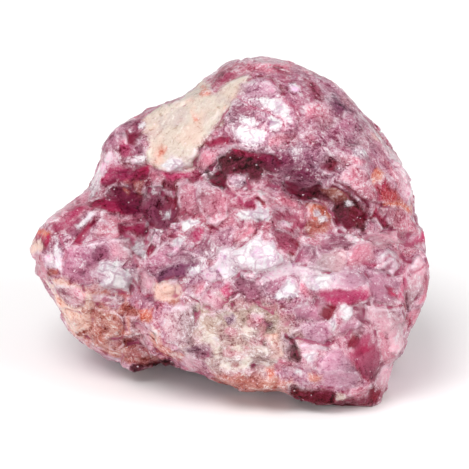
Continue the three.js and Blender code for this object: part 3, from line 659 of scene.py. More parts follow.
ridge = [
    ("crimson", -0.4, 0.08, [(-4, 13.2), (-0.8, 14.6), (-0.6, 13), (-2.5, 12.6)]),
    ("rose", 0.4, 0.08, [(-5.9, 10.6), (-4.4, 12.3), (-1.8, 12.3), (-2.2, 10.6), (-3.4, 9.9), (-5.5, 10)]),
    ("magenta", 0, 0.1, [(-10.2, 9.2), (-5.6, 9.8), (-4.2, 9), (-4, 7.8), (-9.2, 8.2)]),
    ("pinkMauve", 0.5, 0.15, [(-7.9, 6.6), (-6.4, 7.9), (-5.4, 7.2), (-5, 3), (-6.6, 3.2), (-7.8, 4.6)]),
    ("pinkMauve", 0.6, 0.12, [(-5.3, 7.3), (-3.9, 7.8), (-2, 7.2), (-0.6, 5.9), (-0.4, 2.8), (-2.2, 1.2),
        (-4.9, 3.4)]),
    ("white", 0.5, 1, [(-7.4, 2.3), (-5.1, 1.4), (-6.9, 0.2)]),
    ("greyLilac", 0.4, 0.4, [(0, 8), (1.8, 8.6), (2.4, 7.2), (1.2, 6.4), (0.2, 6.8)]),
    ("blush", 0.4, 0.4, [(3.2, 6.7), (4.6, 7.6), (6.6, 7), (6.8, 5.6), (5.2, 5.2), (3.8, 5.6)]),
    ("magenta", 0, 0.12, [(0.8, 5.8), (3.4, 5.6), (3.6, 3.9), (1.8, 4), (0.4, 4.8)]),
    ("maroon", -0.4, 0.05, [(3.8, 5.6), (5, 5.3), (4.8, 4.5), (3.9, 4.5)]),
    ("rose", 0.2, 0.4, [(5.2, 5.2), (8, 6), (10, 5.2), (9.6, 3.8), (5.4, 4.2)]),
    ("white", 0.4, 0.95, [(0.8, 3), (1.8, 3.7), (3.4, 3.6), (3.7, 4.5), (4.2, 3.8), (5.6, 3.8), (5.7, 2.4),
        (2, 2)]),
    ("darkRose", 0.3, 0.1, [(5.9, 3.8), (8.6, 3.6), (9.8, 3), (10.4, 0.4), (8, 0.2), (6.5, 0.6)]),
    ("pearl", 0.1, 0.4, [(7.4, 2), (8.2, 2.4), (9, 2), (8.6, 1.3), (7.6, 1.3)]),
    ("orange", 0.3, 0.15, [(11, 4.2), (12.6, 4.7), (14, 4.2), (14.6, 2.6), (13.4, 1.6), (12, 2.2)]),
    ("rust", 0.2, 0.1, [(11.2, 1.9), (14.6, 2), (14.9, 0.6), (12.5, -0.2), (10.8, 0.8)]),
    ("white", 0.4, 1, [(11.7, 3.5), (12.7, 3.6), (12.7, 2.8), (12, 2.7)]),
    ("white", 0.5, 1, [(12.8, 2.4), (13.8, 2.9), (14.2, 2), (13.2, 1.5)]),
    ("rose", 0.4, 0.2, [(1, -1.9), (3.6, 0.9), (2.8, 1.5), (0.8, 0.6), (0, -0.9)]),
    ("white", 0.5, 0.85, [(1, -2), (4, -0.2), (4.6, -1), (6.2, -1.2), (7.3, -4), (6.2, -5), (1.6, -5),
        (0.6, -2.8)]),
    ("darkRose", 0.2, 0.08, [(6.5, 0.6), (9.8, 0.2), (10.6, -1.6), (9.4, -4), (7, -2.6)]),
    ("maroon", -0.4, 0.05, [(9.4, -0.6), (10.6, -0.9), (10.5, -1.8), (9.8, -1.5)]),
    ("maroon", -0.4, 0.05, [(8.4, -2.6), (9.4, -2.6), (9.2, -4), (8.4, -3.7)]),
    ("mauve", -0.2, 0.15, [(10.8, -1), (12.6, -2), (12.6, -3.2), (10.6, -4.2), (9.4, -4)]),
    ("plum", -0.3, 0.25, [(13.2, -1), (14.6, 0.2), (16.4, 0.1), (18.3, -1.6), (17.2, -2.2), (13.6, -1.6)]),
    ("magenta", 0.3, 0.08, [(-6.4, -0.4), (-4.8, 0.8), (-3.2, 0.3), (-3.6, -1.6), (-4.6, -2.2)]),
    ("plum", 0, 0.3, [(-4.4, -1.6), (-3.2, 0.2), (-1.8, -0.3), (-1.4, -2.4), (-3.2, -3.4), (-4.5, -2.9)]),
    ("mauve", 0.1, 0.25, [(-1.8, 0.4), (0.4, 1.2), (1, -0.6), (0.2, -2.2), (-1.4, -2.2)]),
    ("crimson", -0.4, 0.03, [(-3.9, -3.2), (-1.4, -3.2), (-2.8, -4.6), (-3.4, -4.9)]),
    ("white", 0.3, 0.65, [(-1.6, -2.2), (0.6, -2), (0.8, -6), (-1.2, -6), (-2.4, -4.6)]),
    ("pearl", 0.2, 0.4, [(-4.6, -5), (-2.4, -4.6), (-1.6, -6.6), (-3.6, -7), (-4.8, -6.4)]),
    ("mauve", 0.3, 0.15, [(-12.8, -4.4), (-11, -2), (-9.8, -1.1), (-8.6, -0.9), (-7.2, -2), (-5.4, -2.6),
        (-4.6, -4), (-6, -4.4), (-8.4, -4), (-10.4, -4.8), (-11.4, -6.2), (-12.4, -5.4)]),
    ("pearl", 0.2, 0.6, [(-9.8, -2.6), (-8.2, -1.9), (-7.6, -2.5), (-9, -3.2)]),
    ("white", 0.5, 1, [(-8.9, -1.2), (-7.6, -0.5), (-6.6, -1.3), (-7.6, -2)]),
    ("purple", -0.2, 0.06, [(-11.5, -6), (-10.4, -4.9), (-8.6, -4.2), (-5.1, -4), (-5.2, -4.9), (-6.8, -6.2),
        (-10.6, -6.9)]),
    ("white", 0.1, 0.85, [(-6.3, -4.9), (-4.8, -4.6), (-4.6, -5.9), (-6.2, -6.2)]),
    ("peach", 0, 0.3, [(-11.2, -7.2), (-9, -6.9), (-7.2, -7.2), (-6.9, -8.8), (-7.4, -9.8), (-9, -10.2),
        (-11, -9.6), (-11.8, -8.4)]),
    ("rust", -0.6, 0, [(-9.2, -9.9), (-7.2, -9.6), (-6.9, -10.4), (-8.8, -10.4)]),
    ("rose", 0.1, 0.2, [(-6.6, -7.4), (-4.2, -7.3), (-4.2, -8.2), (-5.6, -9.2)]),
    ("blush", 0.2, 0.2, [(-4.2, -8.6), (-1.8, -9), (-1, -11), (-2.8, -11.2), (-4.4, -9.6)]),
    ("magenta", 0.2, 0.1, [(-1.9, -8), (-0.8, -6.9), (0.6, -7), (0.8, -8.4), (-0.6, -9.4)]),
    ("plum", 0.3, 0.25, [(0.2, -6.8), (1.6, -6), (3.4, -6.8), (4.8, -9.2), (2.6, -9.6), (1.2, -8.4),
        (0, -8)]),
    ("mauve", 0.3, 0.25, [(4.6, -6), (8.6, -6.2), (8.2, -7.2), (6.6, -8.6), (5, -9), (4.2, -7.6)]),
    ("white", 0.5, 0.95, [(6.1, -9.4), (8.6, -7), (9.4, -7.2), (9.8, -9), (8.6, -9.6)]),
    ("pearl", 0.1, 0.4, [(7.4, -4.2), (15, -5.4), (14, -6), (11, -6.4), (5, -6), (5, -5.4)]),
    ("white", 0.5, 0.8, [(11.2, -7), (13, -5.8), (14.8, -6), (15, -7.8), (13.4, -8.8), (12.2, -8.4)]),
    ("rose", 0.2, 0.1, [(10.4, -7), (12.6, -9.2), (11.8, -9.8), (10.6, -8.4)]),
]
block = [
    ("petal", 0.4, 0.15, [(13, -3.4), (15.4, -2), (17, -3), (17.4, -4.6), (16.6, -5.6), (11, -4.8)]),
    ("rose", 0.4, 0.2, [(17.6, -2.4), (19.6, -1.4), (21, -1.6), (21.6, -3.4), (18.6, -5.8), (17.8, -4.6)]),
    ("lilac", 0.1, 0.3, [(15.4, -5.8), (17.4, -5), (19.8, -6), (20.6, -8), (18.8, -8), (17, -8.6),
        (15.2, -8)]),
    ("blush", 0.4, 0.2, [(20.4, -0.6), (22.4, 0.7), (25, 0.8), (26.6, 0.2), (24.6, -1.4), (22.4, -2),
        (20.6, -1.8)]),
    ("magenta", 0, 0.1, [(24.6, -1.6), (28.8, 0.8), (29.4, -0.8), (25.2, -2.6)]),
    ("pearl", 0.1, 0.55, [(22, -3), (23.4, -2.2), (24.6, -3), (25, -5), (23.8, -6), (22.6, -4.6)]),
    ("plum", -0.3, 0.1, [(21.6, -4.9), (24.2, -4), (24, -4.9), (22.2, -5.6)]),
    ("mauve", 0.3, 0.12, [(20.2, -5.2), (22.4, -5.2), (24.6, -7.6), (25, -9), (23.8, -10.4), (21, -9.8),
        (20.3, -8.4)]),
    ("crimson", -0.4, 0.03, [(22.8, -7.4), (24.2, -8), (24.9, -9.2), (23.4, -8.8)]),
    ("magenta", 0, 0.08, [(25.2, -3), (26.4, -3.4), (25.9, -10), (25, -9.6), (25.4, -6)]),
    ("blush", 0.7, 0.45, [(27, -3.4), (27.8, -3), (28.6, -4.4), (28.4, -6.6), (26.4, -11.2), (26, -9.4),
        (26.4, -6.6), (26.1, -5.8)]),
    ("magenta", 0.1, 0.08, [(28.8, -2.2), (30.2, -4.6), (30, -6.2), (28.9, -5.4)]),
    ("rose", 0.1, 0.2, [(28.6, -6.6), (30, -6.2), (29.8, -8.2), (28.4, -10), (27.4, -10.6)]),
    ("crimson", -0.5, 0.02, [(24.9, -10.5), (25.6, -10.4), (26.6, -14.2), (26.2, -15), (25.8, -12.4)]),
    ("rose", 0.1, 0.2, [(26.8, -11.4), (29, -10.4), (28.6, -12.4), (27, -13.8), (26.6, -12.6)]),
    ("magenta", 0.1, 0.04, [(12.2, -8.6), (14.6, -8), (17.6, -8.3), (20.2, -7.2), (20.8, -9), (19, -10.4),
        (14.2, -11)]),
    ("magenta", 0, 0.02, [(12.7, -9.2), (16, -9.3), (19, -8.6), (20, -9), (18.8, -10.2), (14.2, -10.6)]),
    ("maroon", -0.4, 0.04, [(12.2, -10.2), (14.2, -9.9), (14.9, -11), (14.2, -12.8), (13, -12.4)]),
    ("mauve", 0.2, 0.2, [(9.4, -11), (12, -10.6), (13, -12.6), (12, -13), (10, -12.4)]),
    ("white", 0.5, 1, [(15.8, -10.9), (17, -10.2), (18.6, -11.4), (17, -12.6), (16, -12)]),
    ("white", 0.4, 1, [(13.9, -12.8), (14.9, -11.9), (15.2, -13.6), (14.6, -14.2)]),
    ("mauve", 0, 0.12, [(15.8, -13.2), (16.8, -12.7), (20, -12.4), (19.8, -14.6), (17.6, -13.9),
        (16, -14.8)]),
    ("blush", 0.5, 0.35, [(20, -10.4), (24.2, -10.8), (25.6, -12.4), (26.4, -16.6), (24.4, -18.2),
        (22.8, -16.2), (21.6, -13.8), (20, -12.4)]),
    ("rose", 0.1, 0.06, [(21.6, -14.2), (24.4, -18.6), (22.8, -19.2), (22.2, -18.4)]),
    ("darkRose", 0.1, 0.06, [(17.8, -14.4), (20.4, -15), (21.6, -17), (22.2, -19.2), (21.4, -21.6),
        (19.8, -21), (17.4, -17)]),
    ("maroon", -0.7, 0.02, [(16.8, -15), (17.6, -13.9), (19, -14.6), (18.6, -16), (17.4, -16.4)]),
    ("crimson", -0.2, 0.03, [(18.2, -16.2), (19.8, -16), (20.2, -17), (19, -17.8)]),
    ("lilac", 0.3, 0.4, [(10.3, -13.2), (13.4, -13), (15, -14.8), (14, -16), (12, -15.8), (10.4, -14.8)]),
    ("pearl", 0.2, 0.5, [(9.6, -15.4), (14.4, -16.6), (14.2, -17.2), (9.6, -16)]),
    ("white", 0.3, 0.9, [(10.1, -17.2), (12.9, -17.2), (12.6, -18.6), (11, -18.2)]),
    ("lilac", 0.3, 0.1, [(13, -18.8), (14.4, -17.2), (17.6, -17.4), (18.6, -19), (18.4, -20),
        (13.4, -19.8)]),
    ("lilac", 0.3, 0.25, [(12.8, -19.8), (18.6, -20), (19.4, -21.4), (17.4, -23.2), (13.4, -21.8)]),
    ("blush", 0, 0.2, [(22, -19.6), (24, -19), (23.6, -22), (22.4, -24.2), (21.6, -22)]),
]
foot = [
    ("ash", 0, 0.3, [(-5.2, -11), (-2.6, -12), (5, -9.9), (7.2, -10.6), (7, -18), (6.2, -19.6), (4, -20.2),
        (0, -20), (-2.2, -20.6), (-3.4, -19.4), (-3.1, -17), (-4.8, -15.6), (-5.4, -13)]),
    ("petal", 0.4, 0.3, [(-10, -11), (-5.6, -10.8), (-5.4, -16), (-7.4, -16.6), (-9.4, -15.8),
        (-10, -13.6)]),
    ("plum", -0.5, 0.08, [(-6.2, -17), (-5, -16), (-3.4, -16.6), (-3.2, -18), (-4.4, -18.6), (-5.8, -18)]),
    ("blush", 0.2, 0.2, [(-7.2, -18.8), (-5.6, -18.2), (-4.2, -19), (-3.4, -20.4), (-5, -20.8),
        (-6.6, -20.2)]),
    ("rose", 0, 0.15, [(3.4, -12), (5, -11.6), (5.4, -13.4), (4, -13.8)]),
    ("greyLilac", -0.2, 0.1, [(-1, -11.8), (0.4, -11.4), (0.6, -13), (-0.4, -13.6)]),
    ("plum", -0.2, 0.1, [(5.2, -12.4), (6.4, -13), (6.2, -13.8), (5.2, -13.4)]),
    ("rust", -0.2, 0.1, [(-0.6, -18.9), (1.2, -18.6), (1.8, -19.4), (0, -19.6)]),
    ("peach", 0, 0.2, [(5.2, -14.6), (7, -14.4), (7.2, -18), (5.8, -18.4)]),
    ("orange", 0, 0.1, [(5.2, -19.8), (6.6, -19.4), (6.8, -21), (5.4, -21.4)]),
    ("night", -0.7, 0.02, [(7.6, -14.4), (8.6, -14.6), (9.9, -17), (9.8, -18.8), (8.6, -18.6), (7.6, -17.6),
        (8, -16)]),
    ("rose", 0, 0.12, [(6.4, -18.4), (9.4, -19.2), (8.8, -20.2), (7, -20)]),
    ("white", 0.3, 1, [(9.4, -19.8), (10.3, -19.9), (10, -20.9), (9.2, -20.4)]),
    ("salmon", 0, 0.1, [(11.2, -20), (13.4, -20.8), (13, -22), (11.4, -21.8)]),
    ("rust", 0, 0.15, [(0, -20.7), (3, -20.8), (5.2, -21.6), (7.4, -21.2), (7.2, -23.2), (4, -23.6),
        (0, -23.2), (-2.8, -22.4), (-3, -21)]),
    ("night", -0.1, 0.05, [(9, -22.4), (15, -23), (15.2, -25.2), (11, -25.4), (8.6, -24.2)]),
    ("cream", 0.1, 0.3, [(15.2, -23.2), (16.8, -23.6), (17, -24.6), (15.4, -24.4)]),
    ("rose", 0.1, 0.2, [(17.6, -22.9), (20.2, -22.4), (20.4, -24), (18.6, -24.6), (17.2, -23.8)]),
    ("maroon", 0, 0.12, [(20.2, -22.2), (21.6, -22.2), (22.2, -24.4), (21.4, -25.6), (20.4, -24.4)]),
    ("crimson", 0, 0.06, [(15.2, -25), (18, -25), (21.3, -25.6), (21, -26.8), (17.4, -26.8), (14.8, -25.8)]),
    ("blush", 0, 0.2, [(21.5, -24.4), (22.8, -24.4), (22.6, -26.6), (21.2, -26.8)]),
]
creamSlab = [
    ("cream", 0.3, 0.3, [(-13.4, 16.8), (-11.9, 19.4), (-10, 21), (-7.4, 21), (-3.8, 23.8), (-3.4, 22),
        (-2.2, 21.5), (0, 23), (3.6, 24.5), (1.2, 21.9), (-0.4, 18.4), (-5.4, 11.4), (-5.6, 10.3), (-9, 9.3),
        (-10.6, 9.7), (-12.2, 10.8), (-12.6, 12.6), (-12.2, 14.2), (-13, 15.2)]),
    ("salmon", 0, 0.05, [(-4.9, 20.5), (-4.2, 22.2), (-2.7, 21.4), (-3.6, 20.3)]),
    ("peach", -0.1, 0.1, [(-5.9, 18.3), (-5.2, 18.4), (-4.9, 17), (-5.6, 16.9)]),
    ("orange", 0, 0, [(-5.7, 17.6), (-5.3, 17.8), (-5.1, 17.1), (-5.6, 17)]),
    ("peach", 0, 0.1, [(-10.9, 13), (-10.2, 13.2), (-9.8, 11.6), (-10.6, 10.6), (-11.6, 11)]),
    ("orange", 0, 0, [(-10.6, 12.8), (-10.2, 12.9), (-10, 12.1), (-10.5, 12)]),
    ("peach", -0.1, 0.1, [(-1.6, 18.8), (-0.8, 19), (-1.2, 17.8), (-1.8, 17.4)]),
    ("white", 0.2, 0.9, [(-10.2, 10.4), (-8.8, 11.5), (-7.6, 11), (-7.4, 9.9), (-9.2, 9.6)]),
]

# How glassy each group is: a glassy face is calmer than a grainy one
glassiness = (
    (dome, 0.1), (pocket, 0.2), (creamSlab, 0.3), (shoulder, 0.4), (wing, 0.55), (flank, 0.0),
    (ridge, 0.45), (block, 0.75), (foot, 0.25),
)
frontFaces = [(calm, *face) for group, calm in glassiness for face in group]

# Lines between the faces: tone, half width and depth in mm, points
seams = [
    ("magenta", 0.10, 0.1, [(0.6, 20.4), (2.6, 19.5), (3.8, 18.9), (5.3, 17.8), (7, 17.1),
        (7.7, 16.2), (7.8, 15.2)]),
    ("magenta", 0.07, 0.1, [(3.8, 18.6), (3.5, 16.6), (3.9, 15.9), (5.2, 15.5)]),
    ("maroon", 0.20, 0.4, [(4.4, 23.7), (6, 23), (7, 21.6), (7.9, 20.9)]),
    ("magenta", 0.16, 0.2, [(7.9, 20.9), (9.2, 19.2), (9.9, 17.2)]),
    ("crimson", 0.16, 0.3, [(-6.6, 3.3), (-4.2, 1.7), (-1.9, 0.7)]),
    ("crimson", 0.15, 0.3, [(1, -2.1), (2.6, -0.8), (3.9, 0.6)]),
    ("crimson", 0.12, 0.2, [(0.4, -1.2), (1.6, 0.1), (2.8, 1.2)]),
    ("maroon", 0.14, 0.2, [(-0.4, 18.5), (-2, 16.1), (-3.5, 13.8), (-4.8, 12.4)]),
    ("crimson", 0.14, 0.2, [(-11.2, -16.8), (-9.6, -18), (-7.4, -18.8)]),
    ("crimson", 0.12, 0.2, [(-14.3, -6.9), (-13.2, -8.4), (-11.6, -9)]),
    ("rose", 0.12, 0.2, [(-15, -0.6), (-14.4, -3.4), (-13.2, -5.2), (-13.6, -7)]),
    ("crimson", 0.14, 0.3, [(23.2, -10.8), (25, -10.6), (26, -13), (26.4, -15)]),
    ("magenta", 0.14, 0.3, [(26.5, -5.9), (27.6, -5.2), (28.5, -4.6)]),
    ("magenta", 0.14, 0.3, [(20.2, -4.4), (22, -4.2), (24, -3.2)]),
    ("crimson", 0.14, 0.3, [(18.4, -18.4), (19.2, -20.2), (20.2, -21.6)]),
    ("maroon", 0.12, 0.3, [(15.6, 7.8), (17.6, 6.6), (19.4, 5.2), (20.4, 4.4)]),
    ("magenta", 0.12, 0.2, [(9.6, -15.2), (12, -15.7), (14, -16.3), (15.6, -15.6)]),
    ("magenta", 0.12, 0.2, [(-24.6, -4.6), (-24.2, -2.6), (-25.4, -1.2), (-25.6, 0.2)]),
]


# How far each point is from a stretch of a line, across and up
def stretchGap(front, start, finish):
    way = np.subtract(finish, start)
    rel = front[:, :2] - np.array(start)
    t = np.clip(rel @ way / (way @ way), 0, 1)
    return np.linalg.norm(rel - t[:, None] * way, axis=1)


def outlineDistance(front, outline):
    inside = np.zeros(len(front), bool)
    gap = np.full(len(front), farAway)
    for start, finish in zip(outline, outline[1:] + outline[:1]):
        gap = np.minimum(gap, stretchGap(front, start, finish))
        (x0, y0), (x1, y1) = start, finish
        crosses = (front[:, 1] < y0) != (front[:, 1] < y1)
        edge = (x1 - x0) * (front[:, 1] - y0) / (y1 - y0 if y1 != y0 else 1e-9) + x0
        inside ^= crosses & (front[:, 0] < edge)
    return np.where(inside, -gap, gap)


# A marking is drawn on the front of the stone alone: within a margin of its points, and no
# deeper than this
reachDeep = 7.0
notNear = 9.0       # the gap given to every other point


def closeTo(front, line, margin, deepness):
    low, high = np.min(line, axis=0) - margin, np.max(line, axis=0) + margin
    inBox = ((front[:, :2] > low) & (front[:, :2] < high)).all(axis=1)
    return inBox & (np.abs(front[:, 2] - deepness) < reachDeep)


def faceGap(front, outline, tree, fray):
    gap = np.full(len(front), notNear)
    near = closeTo(front, outline, 1.5, deepAt(tree, *middleOf(outline)))
    gap[near] = outlineDistance(front[near], outline) + fray[near]
    return gap


def seamGap(front, line, tree, fray):
    gap = np.full(len(front), notNear)
    near = closeTo(front, line, 1.0, deepAt(tree, *line[len(line) // 2]))
    stretches = zip(line[:-1], line[1:])
    gap[near] = np.min([stretchGap(front[near], start, finish) for start, finish in stretches], axis=0)
    return gap + fray


def within(gap, soft):
    return 1 - smoothStep(gap, -soft, soft)


def middleOf(outline):
    return np.mean(outline, axis=0)


def breadthOf(outline):
    x, y = np.array(outline).T
    area = abs(x @ np.roll(y, 1) - y @ np.roll(x, 1)) / 2
    return area / np.ptp(outline, axis=0).max()


# Pulls each face that is proud or sunk onto a plane of its own, and cuts the seams
def shapeFaces(points, normals, tree):
    most = surface["mostMove"]
    front = toFront(points)
    facing = smoothStep(-(normals @ deepWay), 0.15, 0.45)
    fray = (noiseAt(points, 1.6, 61, 2) - 0.5) * surface["fray"]
    for _, _, lift, _, outline in frontFaces:
        if lift == 0:
            continue
        mask = within(faceGap(front, outline, tree, fray), 0.25) * facing
        inside = mask > 0.6
        if inside.sum() < 20:       # too few points for a plane
            continue
        table = np.column_stack([front[inside, 0], front[inside, 1], np.ones(inside.sum())])
        slopeAcross, slopeUp, base = np.linalg.lstsq(table, front[inside, 2], rcond=None)[0]
        flat = slopeAcross * front[:, 0] + slopeUp * front[:, 1] + base
        pull = np.clip((flat - front[:, 2]) * surface["flatness"], -most, most)
        front[:, 2] += (pull - max(lift, -most) * surface["lift"]) * mask
    for _, half, depth, line in seams:
        gap = seamGap(front, line, tree, np.abs(fray) * 0.4)
        front[:, 2] += depth * (1 - smoothStep(gap, half * 0.5, half * 2.2)) * facing
    return frontOrigin + front @ np.stack([acrossWay, upWay, deepWay])


# Where the lie of the mica sheets can be made out: an oval, then the turn of the sheets in it
sheetTurns = [
    (-7, 15.5, 9, 5, 40, 57), (-21, -2, 8, 5, -30, 35), (-24.5, 3, 5, 2.5, 40, 42),
    (-18, -13, 9, 4, -25, -30), (23.5, -14, 3, 5, 20, -62), (19.5, 8, 4, 3, -50, -50),
    (27.2, -7, 1.8, 5, -10, 72), (-9, -3, 4, 2, 20, 35), (-3, 5, 3, 3, 0, 82),
]
# The sheets of the dome are shells round this point
shellMiddle = (4, 6)
domeOval = (13, 17, 17, 11, -32)


def acrossSheets(outline):
    spread = np.array(outline) - middleOf(outline)
    longWay = np.linalg.eigh(spread.T @ spread)[1][:, 1]
    return np.array([-longWay[1], longWay[0]])


# How far along each point lies in its stack of sheets: streaks follow where this is the same
def sheetHeights(points, tree):
    books, luck = cellsNear(points, paintwork["bookSize"], 31)[:2]
    height = ((points - books) * unit(luck[:, :3] - 0.5)).sum(1)
    front = toFront(points)
    lies = [(domeOval, np.hypot(front[:, 0] - shellMiddle[0], front[:, 1] - shellMiddle[1]))]
    for row in sheetTurns:
        turn = math.radians(row[5])
        lies.append((row, front[:, 1] * math.cos(turn) - front[:, 0] * math.sin(turn)))
    for oval, lie in lies:
        blend(height, lie, smoothStep(ovalMask(front, tree, oval, 9), 0.3, 0.6))
    return height


# How the colours are laid on; lengths in mm, shares of 1
paintwork = {
    "bookSize": 4.2,            # a stack of sheets with a tone of its own
    "middle": 0.56,             # where in the ramp the tones are spread from
    "waves": 1.1,               # and how far, by each kind of unevenness
    "books": 0.16,
    "hiddenBooks": 0.5,
    "grain": 0.6,
    "lines": 0.6,
    "hiddenAt": (-0.35, 0.15),  # how a side is turned where the zones of the back set in
    "zones": 0.85,              # how strongly each layer of colour covers those before it
    "washes": 0.9,
    "faces": 0.9,
    "veils": 0.45,
    "seams": 0.6,
    "wander": 2.4,              # how far the washes stray from their ovals
    "pearlyShine": 0.6,
    "fade": 2.2,                # how a face grows paler or darker from end to end
    "fadeRange": (-0.45, 0.5),
    "rimAt": (0.1, 0.45),       # the edge of a face: painted highlight where light falls on it, painted shade on the other side
    "rimPaintedHighlight": 0.6,
    "rimPaintedShade": 0.5,
    "lightFrom": (-0.35, 0.94),
    "sheetShift": 9,            # how far the streaks of a face are shifted against those beside it
}

# Grains over the matrix, which is chalky, stained, greyish and pink in places:
# tone, size, salt, how rare, share, and over which kind of matrix
matrixGrains = [
    ("peach", 2.4, 47, 0.52, 0.4, "matt"), ("chalk", 1.4, 53, 0.5, 0.8, "ashy"),
    ("greyLilac", 1.5, 57, 0.55, 0.3, "matt"), ("rose", 1.7, 59, 0.55, 0.6, "ashy"),
]


def layWashes(marks, front, tree, rows, uneven, cloud, share):
    for row in rows:
        tone = row[5]
        mask = ovalMask(front, tree, row, 9, uneven) * cloud * share
        blend(marks["tint"], linear(tone), mask)
        blend(marks["matt"], earthy.get(tone, 0), mask)
        if tone in ("pearl", "white"):
            blend(marks["pearlAndSheen"], paintwork["pearlyShine"], mask)


# A face's own chances, drawn by its first point in tenths of a millimetre
def chancesOf(outline):
    across, up = outline[0]
    return chances(np.array([[int(across * 10), int(up * 10), 5]]), 91)[0]


def layFaces(marks, front, tree, fray):
    pale, rimShadeTone = linear("pearl"), linear("crimson") * 0.5
    for calm, tone, _, pearlAndSheen, outline in frontFaces:
        part = min(breadthOf(outline) / 3, 1)       # narrow faces have sharper edges
        gap = faceGap(front, outline, tree, fray * part)
        mask = within(gap, 0.15 + 0.25 * part)
        away = front[:, :2] - middleOf(outline)
        dice = chancesOf(outline)
        fade = away @ (dice[:2] - 0.5) / max(np.ptp(outline, axis=0).max(), 1) * paintwork["fade"]
        fade *= 1 - earthy.get(tone, 0)
        faded = linear(tone) * (1 + np.clip(fade, *paintwork["fadeRange"]))[:, None]
        blend(marks["tint"], faded, mask * paintwork["faces"])
        blend(marks["matt"], earthy.get(tone, 0), mask)
        blend(marks["ashy"], float(tone == "ash"), mask)
        blend(marks["glassy"], calm, mask)
        shifted = front[:, :2] @ acrossSheets(outline) + dice[2] * paintwork["sheetShift"]
        blend(marks["layer"], shifted, mask)
        blend(marks["pearlAndSheen"], pearlAndSheen, within(gap, 0.3 + 0.4 * part))
        # The rim of a broad face: a painted highlight on the side towards the light, partly the pale edge of
        # the mica, and painted shade on the side away from it
        if part > 0.4 and tone not in earthy:
            side = away @ np.array(paintwork["lightFrom"]) / (np.linalg.norm(away, axis=1) + 0.5)
            rim = 1 - smoothStep(np.abs(gap), *paintwork["rimAt"])
            blend(marks["tint"], pale, rim * np.clip(side, 0, 1) * paintwork["rimPaintedHighlight"])
            blend(marks["tint"], rimShadeTone, rim * np.clip(-side, 0, 1) * paintwork["rimPaintedShade"])


def layMatrix(marks, points):
    for tone, size, salt, low, share, kind in matrixGrains:
        mask = smoothStep(noiseAt(points, size, salt, 4), low, low + 0.14) * (marks[kind] * share)
        blend(marks["tint"], linear(tone), mask)


def laySeams(marks, front, tree, fray):
    for tone, half, _, line in seams:
        mask = 1 - smoothStep(seamGap(front, line, tree, fray), half * 0.8, half * 2.5)
        blend(marks["tint"], linear(tone), mask * paintwork["seams"])
        marks["pearlAndSheen"] *= 1 - mask * 0.8


def paint(points, normals, tree):
    hidden = smoothStep(normals @ deepWay, *paintwork["hiddenAt"])
    warp = warpAt(points, 1.6, 71, 3)
    luck = cellsNear(points + warp * 1.6, paintwork["bookSize"], 31)[1]
    height = sheetHeights(points, tree)
    lines = noiseAt(points * 0.25 + height[:, None] * np.array([0.8, 0.5, 0.2]), 1.0, 81, 2)
    wave = noiseAt(points, 8, 41, 2)
    grain = noiseAt(points, 1.3, 43, 3)
    place = paintwork["middle"] + (wave - 0.5) * paintwork["waves"]
    place += (luck[:, 0] - 0.5) * (paintwork["books"] + paintwork["hiddenBooks"] * hidden)
    place += (grain - 0.5) * paintwork["grain"]
    place += (lines - 0.5) * paintwork["lines"]
    ramp = np.array([linear(tone) for tone in stoneRamp])
    steps = np.linspace(0, 1, len(ramp))
    marks = {
        "tint": np.stack([np.interp(place, steps, ramp[:, k]) for k in range(3)], axis=1),
        "pearlAndSheen": 0.1 + 0.35 * smoothStep(wave + (luck[:, 1] - 0.5) * 0.4, 0.5, 0.8),
        "matt": np.zeros(len(points)),
        "glassy": np.full(len(points), 0.15),
        "layer": height,        # the streaks of the finish follow it
        "ashy": np.zeros(len(points)),
    }
    for tone, size, low, pearlAndSheen, salt in backZones:
        zone = smoothStep(noiseAt(points + warp * 2, size, salt, 3), low, low + 0.13) * hidden
        zone = zone * paintwork["zones"]
        blend(marks["tint"], linear(tone), zone)
        blend(marks["pearlAndSheen"], pearlAndSheen, zone)
        blend(marks["matt"], earthy.get(tone, 0), zone)

    front = toFront(points + warpAt(points, 2.6, 101, 4) * paintwork["wander"])
    uneven = (grain - 0.5) * 0.9 + (lines - 0.5) * 0.5
    cloud = 0.6 + 0.4 * smoothStep(wave + uneven, 0.3, 0.7)
    fray = (noiseAt(points, 1.3, 61, 3) - 0.5) * 0.8 + (lines - 0.5) * 0.9
    layWashes(marks, front, tree, washes, uneven, cloud, paintwork["washes"])
    layFaces(marks, front, tree, fray)
    layWashes(marks, front, tree, veils, uneven, cloud, paintwork["veils"])
    layMatrix(marks, points)
    laySeams(marks, front, tree, np.abs(fray) * 0.3)
    np.clip(marks["tint"], 0, 1, out=marks["tint"])
    del marks["ashy"]       # needed for the matrix alone
    return marks


